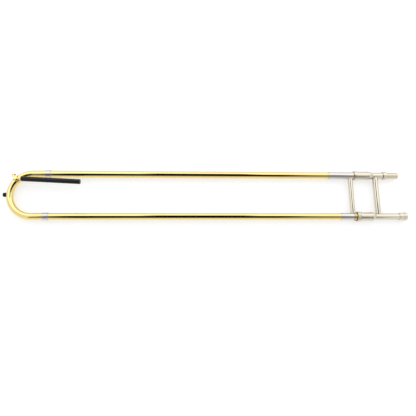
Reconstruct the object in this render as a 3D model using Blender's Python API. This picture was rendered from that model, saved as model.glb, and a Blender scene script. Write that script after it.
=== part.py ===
"""Hand slide of a contrabass trombone, built as its separate pieces.

Metres, +Z up. The two legs lie along X: the bow and its bumper at -X, the mouthpiece receiver and the
bell tenon at +X, the bell leg at +Y and the mouthpiece leg at -Y. The origin is the middle of the
object's footprint, on the surface it lies on. Stations along X are counted from the crown of the bow.
"""
import math

import bmesh
import bpy
from mathutils import Matrix, Vector

# Fits
SEAT_GAP = 0.0003                   # kept between pieces that are soldered or seated together
SLIDE_CLEARANCE = 0.0003            # radial, between a stocking and its outer tube
BARREL_CLEARANCE = 0.0005           # radial, between an outer tube and the barrel it enters
HINGE_CLEARANCE = 0.0003            # round the water key's pin, and at the ends of its hinge tube
LOCK_CLEARANCE = 0.0004             # round the slide lock's lug

# Tubes
TUBE_SPACING = 0.1064
MOUTHPIECE_BORE_RADIUS = 0.00735
BELL_BORE_RADIUS = 0.00745
INNER_TUBE_WALL = 0.0004
STOCKING_STEP = 0.0001
STOCKING_LENGTH = 0.075
OUTER_TUBE_WALL = 0.0004
OUTER_TUBE_LENGTH = 0.7792
INNER_TUBE_SETBACK = 0.016          # from the bow joint to the inner tubes' open ends

# Bow
BOW_TUBE_RADIUS = 0.0086
BOW_WALL = 0.0005
BOW_LEG_LENGTH = 0.0346
FERRULE_LENGTH = 0.0135
FERRULE_WALL = 0.0006
FERRULE_EDGE = 0.0003

# Bumper on the crown of the bow
BUMPER_REACH = 0.0077
BUMPER_RADIUS = 0.0052
BUMPER_TIP_ROUND = 0.0028
BUMPER_WRAP = 0.0016                # how far the rubber wraps back round the bow
STUD_RADIUS = 0.0017
STUD_LENGTH = 0.0046

# Grip sleeves and the catch of the slide lock
BELL_SLEEVE_LENGTH = 0.0644
MOUTHPIECE_SLEEVE_LENGTH = 0.0322
SLEEVE_WALL = 0.00035
SLEEVE_TO_BARREL = 0.0015           # gap between the sleeve's end and the barrel, slide closed
CATCH_TO_BARREL = 0.0015
CATCH_RING_LENGTH = 0.0066
CATCH_RING_WALL = 0.00075
LUG_HALF_WIDTH = 0.0016
LUG_THICKNESS = 0.0006
LUG_HEAD_HEIGHT = 0.0009

# Cork barrels
BARREL_LENGTH = 0.0473
BARREL_INSERTION = 0.0140           # how far the outer tubes enter the barrels, slide closed
BARREL_POCKET = 0.0300
BARREL_RADIUS = 0.0107
BARREL_FLANGE_RADIUS = 0.0124
BARREL_FLANGE_LENGTH = 0.0075
FLANGE_CHAMFER = 0.0012
BARREL_NECK_WALL = 0.00055          # under the lock ring
BARREL_STEP_RADIUS = 0.0117
BARREL_STEP_LENGTH = 0.0045
BARREL_BAND_RADIUS = 0.0112
BARREL_BAND_LENGTH = 0.0060
BARREL_BAND_TO_TAPER = 0.0020
BARREL_TAPER_LENGTH = 0.0065
BARREL_END_WALL = 0.0006

# Slide lock ring
LOCK_RING_SKIN = 0.0007             # over the groove
LOCK_FRONT_WALL = 0.0017
LOCK_GROOVE_LENGTH = 0.0039
LOCK_REAR_WALL = 0.0022
LOCK_STOP_THICKNESS = 0.0004
LOCK_STOP_HEIGHT = 0.00065
LOCK_RING_CHAMFER = 0.0006

# Neck, collar and tenon on the bell leg
NECK_WALL = 0.0003
NECK_LENGTH = 0.0278
COLLAR_LENGTH = 0.0076
COLLAR_RADIUS = 0.0107
COLLAR_ROUND = 0.0010
TENON_LENGTH = 0.0389
TENON_ROOT_RADIUS = 0.0083
TENON_TIP_RADIUS = 0.0079
TENON_TIP_CHAMFER = 0.0002
INNER_TUBE_TO_NECK_END = 0.0030

# Receiver, its bead and the leadpipe on the mouthpiece leg
RECEIVER_LENGTH = 0.0802
RECEIVER_WALL = 0.0003
RECEIVER_TAPER_DEPTH = 0.0405
RECEIVER_MOUTH_RADIUS = 0.0065
RECEIVER_THROAT_RADIUS = 0.0059
BEAD_LENGTH = 0.0198
BEAD_STEP_LENGTH = 0.0116
BEAD_STEP_RADIUS = 0.00965
BEAD_RADIUS = 0.0106
BEAD_MOUTH_RADIUS = 0.0094          # where the bead's round ends on the flat rim
LEADPIPE_LENGTH = 0.1900
LEADPIPE_WALL = 0.00035
LEADPIPE_VENTURI_RADIUS = 0.0053
LEADPIPE_VENTURI_DEPTH = 0.0500

# Braces
OUTER_BRACE_RADIUS = 0.0060
OUTER_BRACE_SETBACK = 0.0085        # from the barrels' mouths to the brace's middle
INNER_BRACE_RADIUS = 0.0070
INNER_BRACE_SETBACK = 0.0092        # from the barrels' ends to the brace's middle

# Water key. Its frame sits on the bow's centre line: X along the tube, Y outwards, Z up
KEY_ANGLE = math.radians(45.5)      # from the crown of the bow towards the bell leg
SPOUT_HEIGHT = 0.0044
SPOUT_RADIUS = 0.0040
SPOUT_BORE_RADIUS = 0.0022
SPOUT_PLATE_LENGTH = 0.0180
SPOUT_PLATE_WIDTH = 0.0110
SPOUT_PLATE_THICKNESS = 0.0009
PIN_HEIGHT = 0.0054                 # pin centre above the top of the bow tube
PIN_RADIUS = 0.0009
PIN_HEAD_RADIUS = 0.0016
PIN_HEAD_LENGTH = 0.0008
HINGE_TUBE_WALL = 0.0006
CHEEK_RADIUS = 0.0035
CHEEK_THICKNESS = 0.0014
EAR_THICKNESS = 0.0012
EAR_RADIUS = 0.0028
SADDLE_BASE_THICKNESS = 0.0010
SADDLE_BASE_HALF_WIDTH = 0.0045
SADDLE_MARGIN = 0.0003              # how far the base stands out past the ears
PLATE_THICKNESS = 0.0016
PLATE_INSET = 0.0002                # the plate and its webs stand back from the hinge tube's ends
PLATE_LAP = 0.0001                  # how far the plate reaches down over the cheeks
WEB_HALF_WIDTH = 0.0028
STRAP_WIDTH = 0.0046
STRAP_THICKNESS = 0.0018
STRAP_LAP = 0.0006                  # how far the strap reaches into the cup's back
TONGUE_LENGTH = 0.0077
TONGUE_HALF_WIDTH = 0.00175
TONGUE_INSET = 0.00015              # the tongue is thinner than the plate by this on each side
CUP_RADIUS = 0.0052
CUP_WALL = 0.0007
CUP_BACK = 0.0013
CUP_LIP = 0.0010                    # how far the cup reaches past the cork's face
CORK_PAD_THICKNESS = 0.0021
ARM_RADIUS = 0.0022
ARM_ROOT = 0.0055                   # from the pin to the round arm's start, under which the plate reaches
ARM_ANGLE = math.radians(-11.0)      # from +X, seen from above
ARM_LENGTH = 0.0117
HANDLE_ANGLE = math.radians(-2.8)
HANDLE_LENGTH = 0.1397
HANDLE_RADIUS = 0.0060
HANDLE_END_WALL = 0.0030
HANDLE_END_ROUND = 0.0010
END_CAP_RADIUS = 0.0056
END_CAP_LENGTH = 0.0032
END_CAP_ROUND = 0.0011

# Torsion spring on the hinge
SPRING_WIRE_RADIUS = 0.00035
SPRING_PITCH = 0.0012
SPRING_TURNS = 3.5                  # half a turn over, so that both tails run the same way
SPRING_POINTS_PER_TURN = 10
SPRING_TAIL = 0.0030

# Facets
ROUND_SEGMENTS = 32
SMALL_SEGMENTS = 16
BOW_STEPS = 18
STRAP_STEPS = 6
ARC_STEPS = 3
SMOOTH_ANGLE = math.radians(35)

# Places worked out from the sizes
HALF_SPACING = TUBE_SPACING / 2
MOUTHPIECE_INNER_RADIUS = MOUTHPIECE_BORE_RADIUS + INNER_TUBE_WALL
BELL_INNER_RADIUS = BELL_BORE_RADIUS + INNER_TUBE_WALL
OUTER_EXTRA = STOCKING_STEP + SLIDE_CLEARANCE + OUTER_TUBE_WALL
MOUTHPIECE_OUTER_RADIUS = MOUTHPIECE_INNER_RADIUS + OUTER_EXTRA
BELL_OUTER_RADIUS = BELL_INNER_RADIUS + OUTER_EXTRA
BOW_CENTRE_X = HALF_SPACING + BOW_TUBE_RADIUS
BOW_JOINT_X = BOW_CENTRE_X + BOW_LEG_LENGTH
OUTER_START_X = BOW_JOINT_X + SEAT_GAP
OUTER_END_X = OUTER_START_X + OUTER_TUBE_LENGTH
MOUTH_X = OUTER_END_X - BARREL_INSERTION
BARREL_END_X = MOUTH_X + BARREL_LENGTH
NECK_START_X = BARREL_END_X + SEAT_GAP
NECK_END_X = NECK_START_X + NECK_LENGTH
TENON_START_X = NECK_END_X + SEAT_GAP
TENON_END_X = TENON_START_X + TENON_LENGTH
RECEIVER_END_X = NECK_START_X + RECEIVER_LENGTH
THROAT_X = RECEIVER_END_X - RECEIVER_TAPER_DEPTH
LOCK_RING_LENGTH = LOCK_FRONT_WALL + LOCK_GROOVE_LENGTH + LOCK_REAR_WALL
MOUTHPIECE_SLEEVE_RADIUS = MOUTHPIECE_OUTER_RADIUS + SEAT_GAP + SLEEVE_WALL
BELL_SLEEVE_RADIUS = BELL_OUTER_RADIUS + SEAT_GAP + SLEEVE_WALL
NECK_RADIUS = BELL_INNER_RADIUS + SEAT_GAP + NECK_WALL
RECEIVER_RADIUS = MOUTHPIECE_INNER_RADIUS + SEAT_GAP + RECEIVER_WALL
LUG_INNER_RADIUS = MOUTHPIECE_OUTER_RADIUS + BARREL_CLEARANCE + BARREL_NECK_WALL + LOCK_CLEARANCE
LUG_OUTER_RADIUS = LUG_INNER_RADIUS + LUG_THICKNESS
LUG_HEAD_RADIUS = LUG_OUTER_RADIUS + LUG_HEAD_HEIGHT
LOCK_GROOVE_RADIUS = LUG_HEAD_RADIUS + LOCK_CLEARANCE
LOCK_RING_RADIUS = LOCK_GROOVE_RADIUS + LOCK_RING_SKIN
INSIDE_BOW = BOW_TUBE_RADIUS / 2    # depth where pieces that are cut to the bow's surface start
PIN_Z = BOW_TUBE_RADIUS + PIN_HEIGHT
LOWEST = max(LOCK_RING_RADIUS, BARREL_FLANGE_RADIUS, BARREL_STEP_RADIUS, BEAD_RADIUS, COLLAR_RADIUS)
FOOTPRINT_X = (max(RECEIVER_END_X, TENON_END_X) - BUMPER_REACH) / 2
FOOTPRINT_Y = (BARREL_FLANGE_RADIUS - max(LOCK_RING_RADIUS, BARREL_STEP_RADIUS)) / 2


def slide_point(x, y=0.0, z=0.0):
    """World place of a point given by its station from the crown, its Y and its height over the axes."""
    return Vector((x - FOOTPRINT_X, y - FOOTPRINT_Y, z + LOWEST))


def clear_scene():
    for item in list(bpy.data.objects):
        bpy.data.objects.remove(item, do_unlink=True)


def srgb_to_linear(hex_colour):
    channels = (int(hex_colour[i:i + 2], 16) / 255 for i in (0, 2, 4))
    return [c / 12.92 if c <= 0.04045 else ((c + 0.055) / 1.055) ** 2.4 for c in channels]


def make_material(name, hex_colour, roughness, metallic):
    material = bpy.data.materials.new(name)
    material.use_nodes = True
    shader = material.node_tree.nodes["Principled BSDF"]
    shader.inputs["Base Color"].default_value = [*srgb_to_linear(hex_colour), 1.0]
    shader.inputs["Roughness"].default_value = roughness
    shader.inputs["Metallic"].default_value = metallic
    return material


def make_empty(name, place, rotation=None, parent=None):
    """A frame for one body. Its place is given in its parent's frame."""
    empty = bpy.data.objects.new(name, None)
    empty.location = place
    empty.parent = parent
    if rotation:
        empty.rotation_euler = rotation.to_euler()
    bpy.context.collection.objects.link(empty)
    return empty


def object_from(bm, name):
    """An object that holds the bmesh, its faces turned outwards and its round sides shaded smooth."""
    bmesh.ops.recalc_face_normals(bm, faces=bm.faces[:])
    mesh = bpy.data.meshes.new(name)
    bm.to_mesh(mesh)
    bm.free()
    mesh.shade_smooth()
    mesh.set_sharp_from_angle(angle=SMOOTH_ANGLE)
    item = bpy.data.objects.new(name, mesh)
    bpy.context.collection.objects.link(item)
    return item


def finish_piece(item, material, parent, place=(0, 0, 0)):
    """Give a piece its finish and hang it on its body's frame, at a place in that frame."""
    item.data.materials.clear()
    item.data.materials.append(material)
    item.parent = parent
    item.location = place
    return item


def combine(item, tool, operation):
    """Apply one exact boolean to the item and remove the tool."""
    modifier = item.modifiers.new("combine", "BOOLEAN")
    modifier.operation = operation
    modifier.solver = "EXACT"
    modifier.object = tool
    tool.hide_render = True
    tool.display_type = "WIRE"
    bpy.context.view_layer.update()
    evaluated = item.evaluated_get(bpy.context.evaluated_depsgraph_get())
    result = bpy.data.meshes.new_from_object(evaluated)
    item.modifiers.clear()
    item.data = result
    bpy.data.objects.remove(tool, do_unlink=True)
    return item


def turned(name, profile, segments=ROUND_SEGMENTS):
    """Turn a closed profile of (station, radius) points round the X axis."""
    bm = bmesh.new()
    corners = [bm.verts.new((x, 0.0, radius)) for x, radius in profile]
    sides = [bm.edges.new(pair) for pair in zip(corners, corners[1:] + corners[:1])]
    bmesh.ops.spin(bm, geom=corners + sides, cent=(0, 0, 0), axis=(1, 0, 0), angle=math.tau,
                   steps=segments, use_merge=True)
    bmesh.ops.remove_doubles(bm, verts=bm.verts[:], dist=1e-6)
    return object_from(bm, name)


def turned_solid(name, profile, segments=SMALL_SEGMENTS):
    """Turn an open profile whose two ends lie on the X axis, so that the piece has no bore."""
    bm = bmesh.new()
    corners = [bm.verts.new((x, 0.0, radius)) for x, radius in profile]
    sides = [bm.edges.new(pair) for pair in zip(corners, corners[1:])]
    bmesh.ops.spin(bm, geom=corners + sides, cent=(0, 0, 0), axis=(1, 0, 0), angle=math.tau,
                   steps=segments, use_merge=True)
    bmesh.ops.remove_doubles(bm, verts=bm.verts[:], dist=1e-6)
    return object_from(bm, name)


def pipe_profile(length, outer, bore):
    return [(0.0, bore), (0.0, outer), (length, outer), (length, bore)]


def bored(outside, bore_line):
    """Join an outside line, given towards +X, and a bore line, given the same way, to one profile."""
    return outside + bore_line[::-1]


def arc(centre, radius, start, end, steps=ARC_STEPS):
    """Points of a round corner; angles in degrees, 0 towards +X and 90 away from the axis."""
    turns = [math.radians(start + (end - start) * i / steps) for i in range(steps + 1)]
    return [(centre[0] + radius * math.cos(t), centre[1] + radius * math.sin(t)) for t in turns]


def rod(name, radius, start, end, axis, segments=SMALL_SEGMENTS):
    """A plain round bar along one axis of its frame."""
    bm = bmesh.new()
    turn = {"X": Matrix.Rotation(math.pi / 2, 4, "Y"), "Y": Matrix.Rotation(-math.pi / 2, 4, "X"),
            "Z": Matrix.Identity(4)}[axis]
    middle = Matrix.Translation((0, 0, (start + end) / 2))
    bmesh.ops.create_cone(bm, cap_ends=True, segments=segments, radius1=radius, radius2=radius,
                          depth=end - start, matrix=turn @ middle)
    return object_from(bm, name)


def block(name, low, high):
    """A plain box between two corners."""
    bm = bmesh.new()
    size = Vector(high) - Vector(low)
    centre = (Vector(high) + Vector(low)) / 2
    matrix = Matrix.Translation(centre) @ Matrix.Diagonal((*size, 1.0))
    bmesh.ops.create_cube(bm, size=1.0, matrix=matrix)
    return object_from(bm, name)


def extruded(name, outline, axis, low, high):
    """Draw an outline out along X or Z. Its points lie in the YZ or the XY plane."""
    bm = bmesh.new()
    outline_face = bm.faces.new([bm.verts.new((a, b, low)) for a, b in outline])
    made = bmesh.ops.extrude_face_region(bm, geom=[outline_face])["geom"]
    corners = [part for part in made if isinstance(part, bmesh.types.BMVert)]
    bmesh.ops.translate(bm, vec=(0, 0, high - low), verts=corners)
    if axis == "X":
        along_x = Matrix(((0, 0, 1, 0), (1, 0, 0, 0), (0, 1, 0, 0), (0, 0, 0, 1)))
        bmesh.ops.transform(bm, matrix=along_x, verts=bm.verts[:])
    return object_from(bm, name)


def bent_bar(name, points, radius, resolution):
    """A round bar or wire along the points, as a welded mesh."""
    curve = bpy.data.curves.new(name, "CURVE")
    curve.dimensions = "3D"
    curve.bevel_depth = radius
    curve.bevel_resolution = resolution
    curve.use_fill_caps = True
    spline = curve.splines.new("POLY")
    spline.points.add(len(points) - 1)
    for point, place in zip(spline.points, points):
        point.co = (*place, 1.0)
    drawn = bpy.data.objects.new("centre_line", curve)
    bpy.context.collection.objects.link(drawn)
    bpy.context.view_layer.update()
    evaluated = drawn.evaluated_get(bpy.context.evaluated_depsgraph_get())
    bm = bmesh.new()
    bm.from_mesh(evaluated.to_mesh())
    bpy.data.objects.remove(drawn, do_unlink=True)
    bmesh.ops.remove_doubles(bm, verts=bm.verts[:], dist=1e-6)
    return object_from(bm, name)


def shift_mesh(item, offset):
    item.data.transform(Matrix.Translation(offset))
    return item


def ring_edges(bm, radius, matrix, segments=ROUND_SEGMENTS):
    made = bmesh.ops.create_circle(bm, cap_ends=False, radius=radius, segments=segments, matrix=matrix)
    corners = set(made["verts"])
    return [edge for edge in bm.edges if edge.verts[0] in corners and edge.verts[1] in corners]


def edges_of(geometry):
    return [part for part in geometry if isinstance(part, bmesh.types.BMEdge)]


def drawn_out(bm, edges, offset):
    """Extrude rings straight along the offset and return the new rings' edges."""
    made = bmesh.ops.extrude_edge_only(bm, edges=edges)["geom"]
    corners = [part for part in made if isinstance(part, bmesh.types.BMVert)]
    bmesh.ops.translate(bm, vec=offset, verts=corners)
    moved = set(corners)
    return [edge for edge in edges_of(made) if edge.verts[0] in moved and edge.verts[1] in moved]


def turned_ring(bm, edges, centre, axis, angle, steps):
    """Spin rings round an axis and return the last rings' edges."""
    corners = list({corner for edge in edges for corner in edge.verts})
    made = bmesh.ops.spin(bm, geom=corners + edges, cent=centre, axis=axis, angle=angle, steps=steps)
    return edges_of(made["geom_last"])


def bow_shape(name, radius, leg=BOW_LEG_LENGTH):
    """A solid bow about its centre: a leg, the half circle and the other leg."""
    bm = bmesh.new()
    across = Matrix.Translation((leg, HALF_SPACING, 0)) @ Matrix.Rotation(math.pi / 2, 4, "Y")
    start = ring_edges(bm, radius, across)
    last = drawn_out(bm, start, (-leg, 0, 0))
    last = turned_ring(bm, last, (0, 0, 0), (0, 0, 1), math.pi, BOW_STEPS)
    last = drawn_out(bm, last, (leg, 0, 0))
    for ends in (start, last):
        bmesh.ops.edgeloop_fill(bm, edges=ends)
    return object_from(bm, name)


def bow_allowance(frame):
    """The bow's outside grown by the seat gap, in the frame of a piece that seats on it."""
    cutter = bow_shape("bow_allowance", BOW_TUBE_RADIUS + SEAT_GAP)
    cutter.data.transform(frame.inverted())
    return cutter


clear_scene()
LACQUERED_BRASS = make_material("lacquered_brass", "E8C66A", 0.12, 1.0)
NICKEL_SILVER = make_material("nickel_silver", "D3CFC6", 0.14, 1.0)
PLAIN_BRASS = make_material("plain_brass", "C7A680", 0.30, 1.0)
CHROME = make_material("chromed_inner_tube", "DDE0E2", 0.06, 1.0)
STEEL = make_material("spring_steel", "8C8F93", 0.28, 1.0)
BLACK_RUBBER = make_material("black_rubber", "1B1B1D", 0.55, 0.0)
BLACK_SLEEVE = make_material("black_sleeve", "232326", 0.38, 0.0)
CORK = make_material("cork", "A9825A", 0.85, 0.0)

inner_slide = make_empty("inner_slide", slide_point(0))
outer_slide = make_empty("outer_slide", slide_point(0))
lock_frame = make_empty("slide_lock", slide_point(MOUTH_X, -HALF_SPACING))
key_turn = Matrix.Rotation(math.pi / 2 - KEY_ANGLE, 4, "Z")
key_place = Vector((BOW_CENTRE_X - HALF_SPACING * math.cos(KEY_ANGLE), HALF_SPACING * math.sin(KEY_ANGLE), 0))
key_seat = make_empty("water_key_seat", key_place, key_turn, outer_slide)
key_axis = make_empty("water_key", (0, 0, PIN_Z), None, key_seat)


def make_bow():
    """The bow, with the drain hole under its water key, and the ferrules over its two joints."""
    bow = bow_shape("slide_bow", BOW_TUBE_RADIUS)
    combine(bow, bow_shape("bore", BOW_TUBE_RADIUS - BOW_WALL, 2 * BOW_LEG_LENGTH), "DIFFERENCE")
    drain = rod("drain", SPOUT_BORE_RADIUS, INSIDE_BOW, BOW_TUBE_RADIUS + INSIDE_BOW, "Y")
    bow_centre = Vector((BOW_CENTRE_X, 0, 0))
    drain.data.transform(Matrix.Translation(key_place - bow_centre) @ key_turn)
    combine(bow, drain, "DIFFERENCE")
    finish_piece(bow, LACQUERED_BRASS, outer_slide, bow_centre)
    for name, side, tube in (("bell", 1, BELL_OUTER_RADIUS), ("mouthpiece", -1, MOUTHPIECE_OUTER_RADIUS)):
        bore = max(tube, BOW_TUBE_RADIUS) + SEAT_GAP
        outer = bore + FERRULE_WALL
        outside = [(0, outer - FERRULE_EDGE), (FERRULE_EDGE, outer), (FERRULE_LENGTH - FERRULE_EDGE, outer),
                   (FERRULE_LENGTH, outer - FERRULE_EDGE)]
        ferrule = turned("bow_ferrule_" + name, bored(outside, [(0, bore), (FERRULE_LENGTH, bore)]))
        start = BOW_JOINT_X + SEAT_GAP / 2 - FERRULE_LENGTH / 2
        finish_piece(ferrule, NICKEL_SILVER, outer_slide, (start, side * HALF_SPACING, 0))


def make_bumper():
    """Brass stud on the crown of the bow, and the rubber bumper pushed over it against the bow."""
    crown = Matrix.Translation((-BOW_CENTRE_X, 0, 0))
    stud = rod("bumper_stud", STUD_RADIUS, -STUD_LENGTH, BUMPER_WRAP, "X")
    combine(stud, bow_allowance(crown), "DIFFERENCE")
    finish_piece(stud, LACQUERED_BRASS, outer_slide)
    socket = STUD_RADIUS + SEAT_GAP
    depth = -STUD_LENGTH - SEAT_GAP
    tip = arc((-BUMPER_REACH + BUMPER_TIP_ROUND, BUMPER_RADIUS - BUMPER_TIP_ROUND), BUMPER_TIP_ROUND, 180, 90)
    profile = [(-BUMPER_REACH, 0), *tip, (BUMPER_WRAP, BUMPER_RADIUS), (BUMPER_WRAP, socket), (depth, socket),
               (depth, 0)]
    bumper = turned_solid("bumper", profile)
    combine(bumper, bow_allowance(crown), "DIFFERENCE")
    finish_piece(bumper, BLACK_RUBBER, outer_slide)


def make_outer_slide():
    """Outer tubes, grip sleeves, the catch ring with its lug, and the outer brace."""
    for name, side, radius in (("bell", 1, BELL_OUTER_RADIUS), ("mouthpiece", -1, MOUTHPIECE_OUTER_RADIUS)):
        tube = turned("outer_tube_" + name, pipe_profile(OUTER_TUBE_LENGTH, radius, radius - OUTER_TUBE_WALL))
        finish_piece(tube, LACQUERED_BRASS, outer_slide, (OUTER_START_X, side * HALF_SPACING, 0))
    catch_start = MOUTH_X - CATCH_TO_BARREL - CATCH_RING_LENGTH
    sleeves = (("bell", 1, BELL_OUTER_RADIUS, BELL_SLEEVE_LENGTH, MOUTH_X - SLEEVE_TO_BARREL),
               ("mouthpiece", -1, MOUTHPIECE_OUTER_RADIUS, MOUTHPIECE_SLEEVE_LENGTH, catch_start - SEAT_GAP))
    for name, side, radius, length, end in sleeves:
        bore = radius + SEAT_GAP
        sleeve = turned("grip_sleeve_" + name, pipe_profile(length, bore + SLEEVE_WALL, bore))
        finish_piece(sleeve, NICKEL_SILVER, outer_slide, (end - length, side * HALF_SPACING, 0))
    make_catch_ring(catch_start)
    make_brace("outer_brace", OUTER_BRACE_RADIUS, MOUTH_X - OUTER_BRACE_SETBACK, BELL_SLEEVE_RADIUS,
               MOUTHPIECE_SLEEVE_RADIUS, outer_slide)


def make_catch_ring(start):
    """Ring on the end of the mouthpiece leg's outer slide, whose hooked lug enters the lock ring.

    It is hollowed round the foot of the outer brace.
    """
    bore = MOUTHPIECE_OUTER_RADIUS + SEAT_GAP
    ring = turned("catch_ring", pipe_profile(CATCH_RING_LENGTH, bore + CATCH_RING_WALL, bore))
    root = CATCH_RING_LENGTH / 4
    mouth = CATCH_RING_LENGTH + CATCH_TO_BARREL
    head_start = mouth + LOCK_FRONT_WALL + LOCK_CLEARANCE
    head_end = mouth + LOCK_RING_LENGTH - LOCK_REAR_WALL - SEAT_GAP - LOCK_STOP_THICKNESS - LOCK_CLEARANCE
    foot = bore + CATCH_RING_WALL / 2
    foot_end = CATCH_RING_LENGTH - SEAT_GAP
    outline = [(root, -foot), (root, -LUG_OUTER_RADIUS), (head_start, -LUG_OUTER_RADIUS),
               (head_start, -LUG_HEAD_RADIUS), (head_end, -LUG_HEAD_RADIUS), (head_end, -LUG_INNER_RADIUS),
               (foot_end, -LUG_INNER_RADIUS), (foot_end, -foot)]
    combine(ring, extruded("lug", outline, "Z", -LUG_HALF_WIDTH, LUG_HALF_WIDTH), "UNION")
    room = rod("room", OUTER_BRACE_RADIUS + SEAT_GAP, 0, HALF_SPACING, "Y", ROUND_SEGMENTS)
    combine(ring, shift_mesh(room, (mouth - OUTER_BRACE_SETBACK, 0, 0)), "DIFFERENCE")
    finish_piece(ring, PLAIN_BRASS, outer_slide, (start, -HALF_SPACING, 0))


def make_brace(name, radius, station, bell_radius, mouthpiece_radius, body):
    """A brace between the legs, its two ends hollowed to seat on the tubes."""
    brace = rod(name, radius, -HALF_SPACING, HALF_SPACING, "Y", ROUND_SEGMENTS)
    for side, tube_radius in ((1, bell_radius), (-1, mouthpiece_radius)):
        seat = rod("seat", tube_radius + SEAT_GAP, -2 * radius, 2 * radius, "X", ROUND_SEGMENTS)
        combine(brace, shift_mesh(seat, (0, side * HALF_SPACING, 0)), "DIFFERENCE")
    finish_piece(brace, NICKEL_SILVER, body, (station, 0, 0))


def make_inner_tubes():
    """Inner tubes with their stockings, the short thicker stretch that bears on the outer tubes."""
    start = BOW_JOINT_X + INNER_TUBE_SETBACK
    bell_end = NECK_END_X - INNER_TUBE_TO_NECK_END
    mouthpiece_end = THROAT_X - SEAT_GAP
    for name, side, bore, end in (("bell", 1, BELL_BORE_RADIUS, bell_end),
                                  ("mouthpiece", -1, MOUTHPIECE_BORE_RADIUS, mouthpiece_end)):
        length = end - start
        radius = bore + INNER_TUBE_WALL
        stocking = radius + STOCKING_STEP
        outside = [(0, stocking), (STOCKING_LENGTH, stocking), (STOCKING_LENGTH + STOCKING_STEP, radius),
                   (length, radius)]
        tube = turned("inner_tube_" + name, bored(outside, [(0, bore), (length, bore)]))
        finish_piece(tube, CHROME, inner_slide, (start, side * HALF_SPACING, 0))


def barrel_back(radius, tube_radius):
    """The closed end of a barrel: body, raised band and the taper down to the tube."""
    band_end = BARREL_LENGTH - BARREL_TAPER_LENGTH - BARREL_BAND_TO_TAPER
    band_start = band_end - BARREL_BAND_LENGTH
    rise = BARREL_BAND_RADIUS - radius
    return [(band_start - rise, radius), (band_start, BARREL_BAND_RADIUS), (band_end, BARREL_BAND_RADIUS),
            (band_end + rise, radius), (BARREL_LENGTH - BARREL_TAPER_LENGTH, radius),
            (BARREL_LENGTH, tube_radius + SEAT_GAP + BARREL_END_WALL)]


def barrel_bore(outer_tube, inner_tube):
    """Wide pocket for the outer tube and its cork, then the seat on the inner tube."""
    pocket = outer_tube + BARREL_CLEARANCE
    seat = inner_tube + SEAT_GAP
    return [(0, pocket), (BARREL_POCKET, pocket), (BARREL_POCKET, seat), (BARREL_LENGTH, seat)]


def make_barrels():
    """Cork barrels on the inner slide, and the corks in them that the outer tubes come to rest on."""
    flange = [(0, BARREL_FLANGE_RADIUS - FLANGE_CHAMFER), (FLANGE_CHAMFER, BARREL_FLANGE_RADIUS),
              (BARREL_FLANGE_LENGTH - FLANGE_CHAMFER / 2, BARREL_FLANGE_RADIUS),
              (BARREL_FLANGE_LENGTH, BARREL_RADIUS)]
    outside = flange + barrel_back(BARREL_RADIUS, BELL_INNER_RADIUS)
    bell = turned("cork_barrel_bell", bored(outside, barrel_bore(BELL_OUTER_RADIUS, BELL_INNER_RADIUS)))
    finish_piece(bell, NICKEL_SILVER, inner_slide, (MOUTH_X, HALF_SPACING, 0))

    neck = MOUTHPIECE_OUTER_RADIUS + BARREL_CLEARANCE + BARREL_NECK_WALL
    stop_end = LOCK_RING_LENGTH - LOCK_REAR_WALL - SEAT_GAP
    stop_start = stop_end - LOCK_STOP_THICKNESS
    step = LOCK_RING_LENGTH + SEAT_GAP
    step_end = step + BARREL_STEP_LENGTH
    seat = [(0, neck), (stop_start, neck), (stop_start, neck + LOCK_STOP_HEIGHT),
            (stop_end, neck + LOCK_STOP_HEIGHT), (stop_end, neck), (step, neck),
            (step, BARREL_STEP_RADIUS), (step_end, BARREL_STEP_RADIUS), (step_end, BARREL_RADIUS)]
    outside = seat + barrel_back(BARREL_RADIUS, MOUTHPIECE_INNER_RADIUS)
    bore = barrel_bore(MOUTHPIECE_OUTER_RADIUS, MOUTHPIECE_INNER_RADIUS)
    mouthpiece = turned("cork_barrel_mouthpiece", bored(outside, bore))
    finish_piece(mouthpiece, NICKEL_SILVER, inner_slide, (MOUTH_X, -HALF_SPACING, 0))

    cork_start = OUTER_END_X + SEAT_GAP
    cork_length = MOUTH_X + BARREL_POCKET - SEAT_GAP - cork_start
    for name, side, outer, inner in (("bell", 1, BELL_OUTER_RADIUS, BELL_INNER_RADIUS),
                                     ("mouthpiece", -1, MOUTHPIECE_OUTER_RADIUS, MOUTHPIECE_INNER_RADIUS)):
        pocket = outer + BARREL_CLEARANCE
        cork = turned("cork_" + name, pipe_profile(cork_length, pocket - SEAT_GAP, inner + SEAT_GAP))
        finish_piece(cork, CORK, inner_slide, (cork_start, side * HALF_SPACING, 0))


def make_lock_ring():
    """Turning ring on the mouthpiece barrel. Its front wall, notched for the lug, hooks behind it."""
    lip = LUG_OUTER_RADIUS + LOCK_CLEARANCE
    seat = LUG_INNER_RADIUS - LOCK_CLEARANCE + SEAT_GAP
    rear = LOCK_FRONT_WALL + LOCK_GROOVE_LENGTH
    rim = LOCK_RING_RADIUS - LOCK_RING_CHAMFER
    outside = [(0, rim), (LOCK_RING_CHAMFER, LOCK_RING_RADIUS),
               (LOCK_RING_LENGTH - LOCK_RING_CHAMFER, LOCK_RING_RADIUS), (LOCK_RING_LENGTH, rim)]
    inside = [(0, lip), (LOCK_FRONT_WALL, lip), (LOCK_FRONT_WALL, LOCK_GROOVE_RADIUS),
              (rear, LOCK_GROOVE_RADIUS), (rear, seat), (LOCK_RING_LENGTH, seat)]
    ring = turned("slide_lock_ring", bored(outside, inside))
    half = LUG_HALF_WIDTH + LOCK_CLEARANCE
    notch = block("notch", (-LOCK_FRONT_WALL, -LOCK_GROOVE_RADIUS, -half),
                  (LOCK_FRONT_WALL + LOCK_CLEARANCE, -LUG_INNER_RADIUS, half))
    combine(ring, notch, "DIFFERENCE")
    finish_piece(ring, NICKEL_SILVER, lock_frame)


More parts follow.
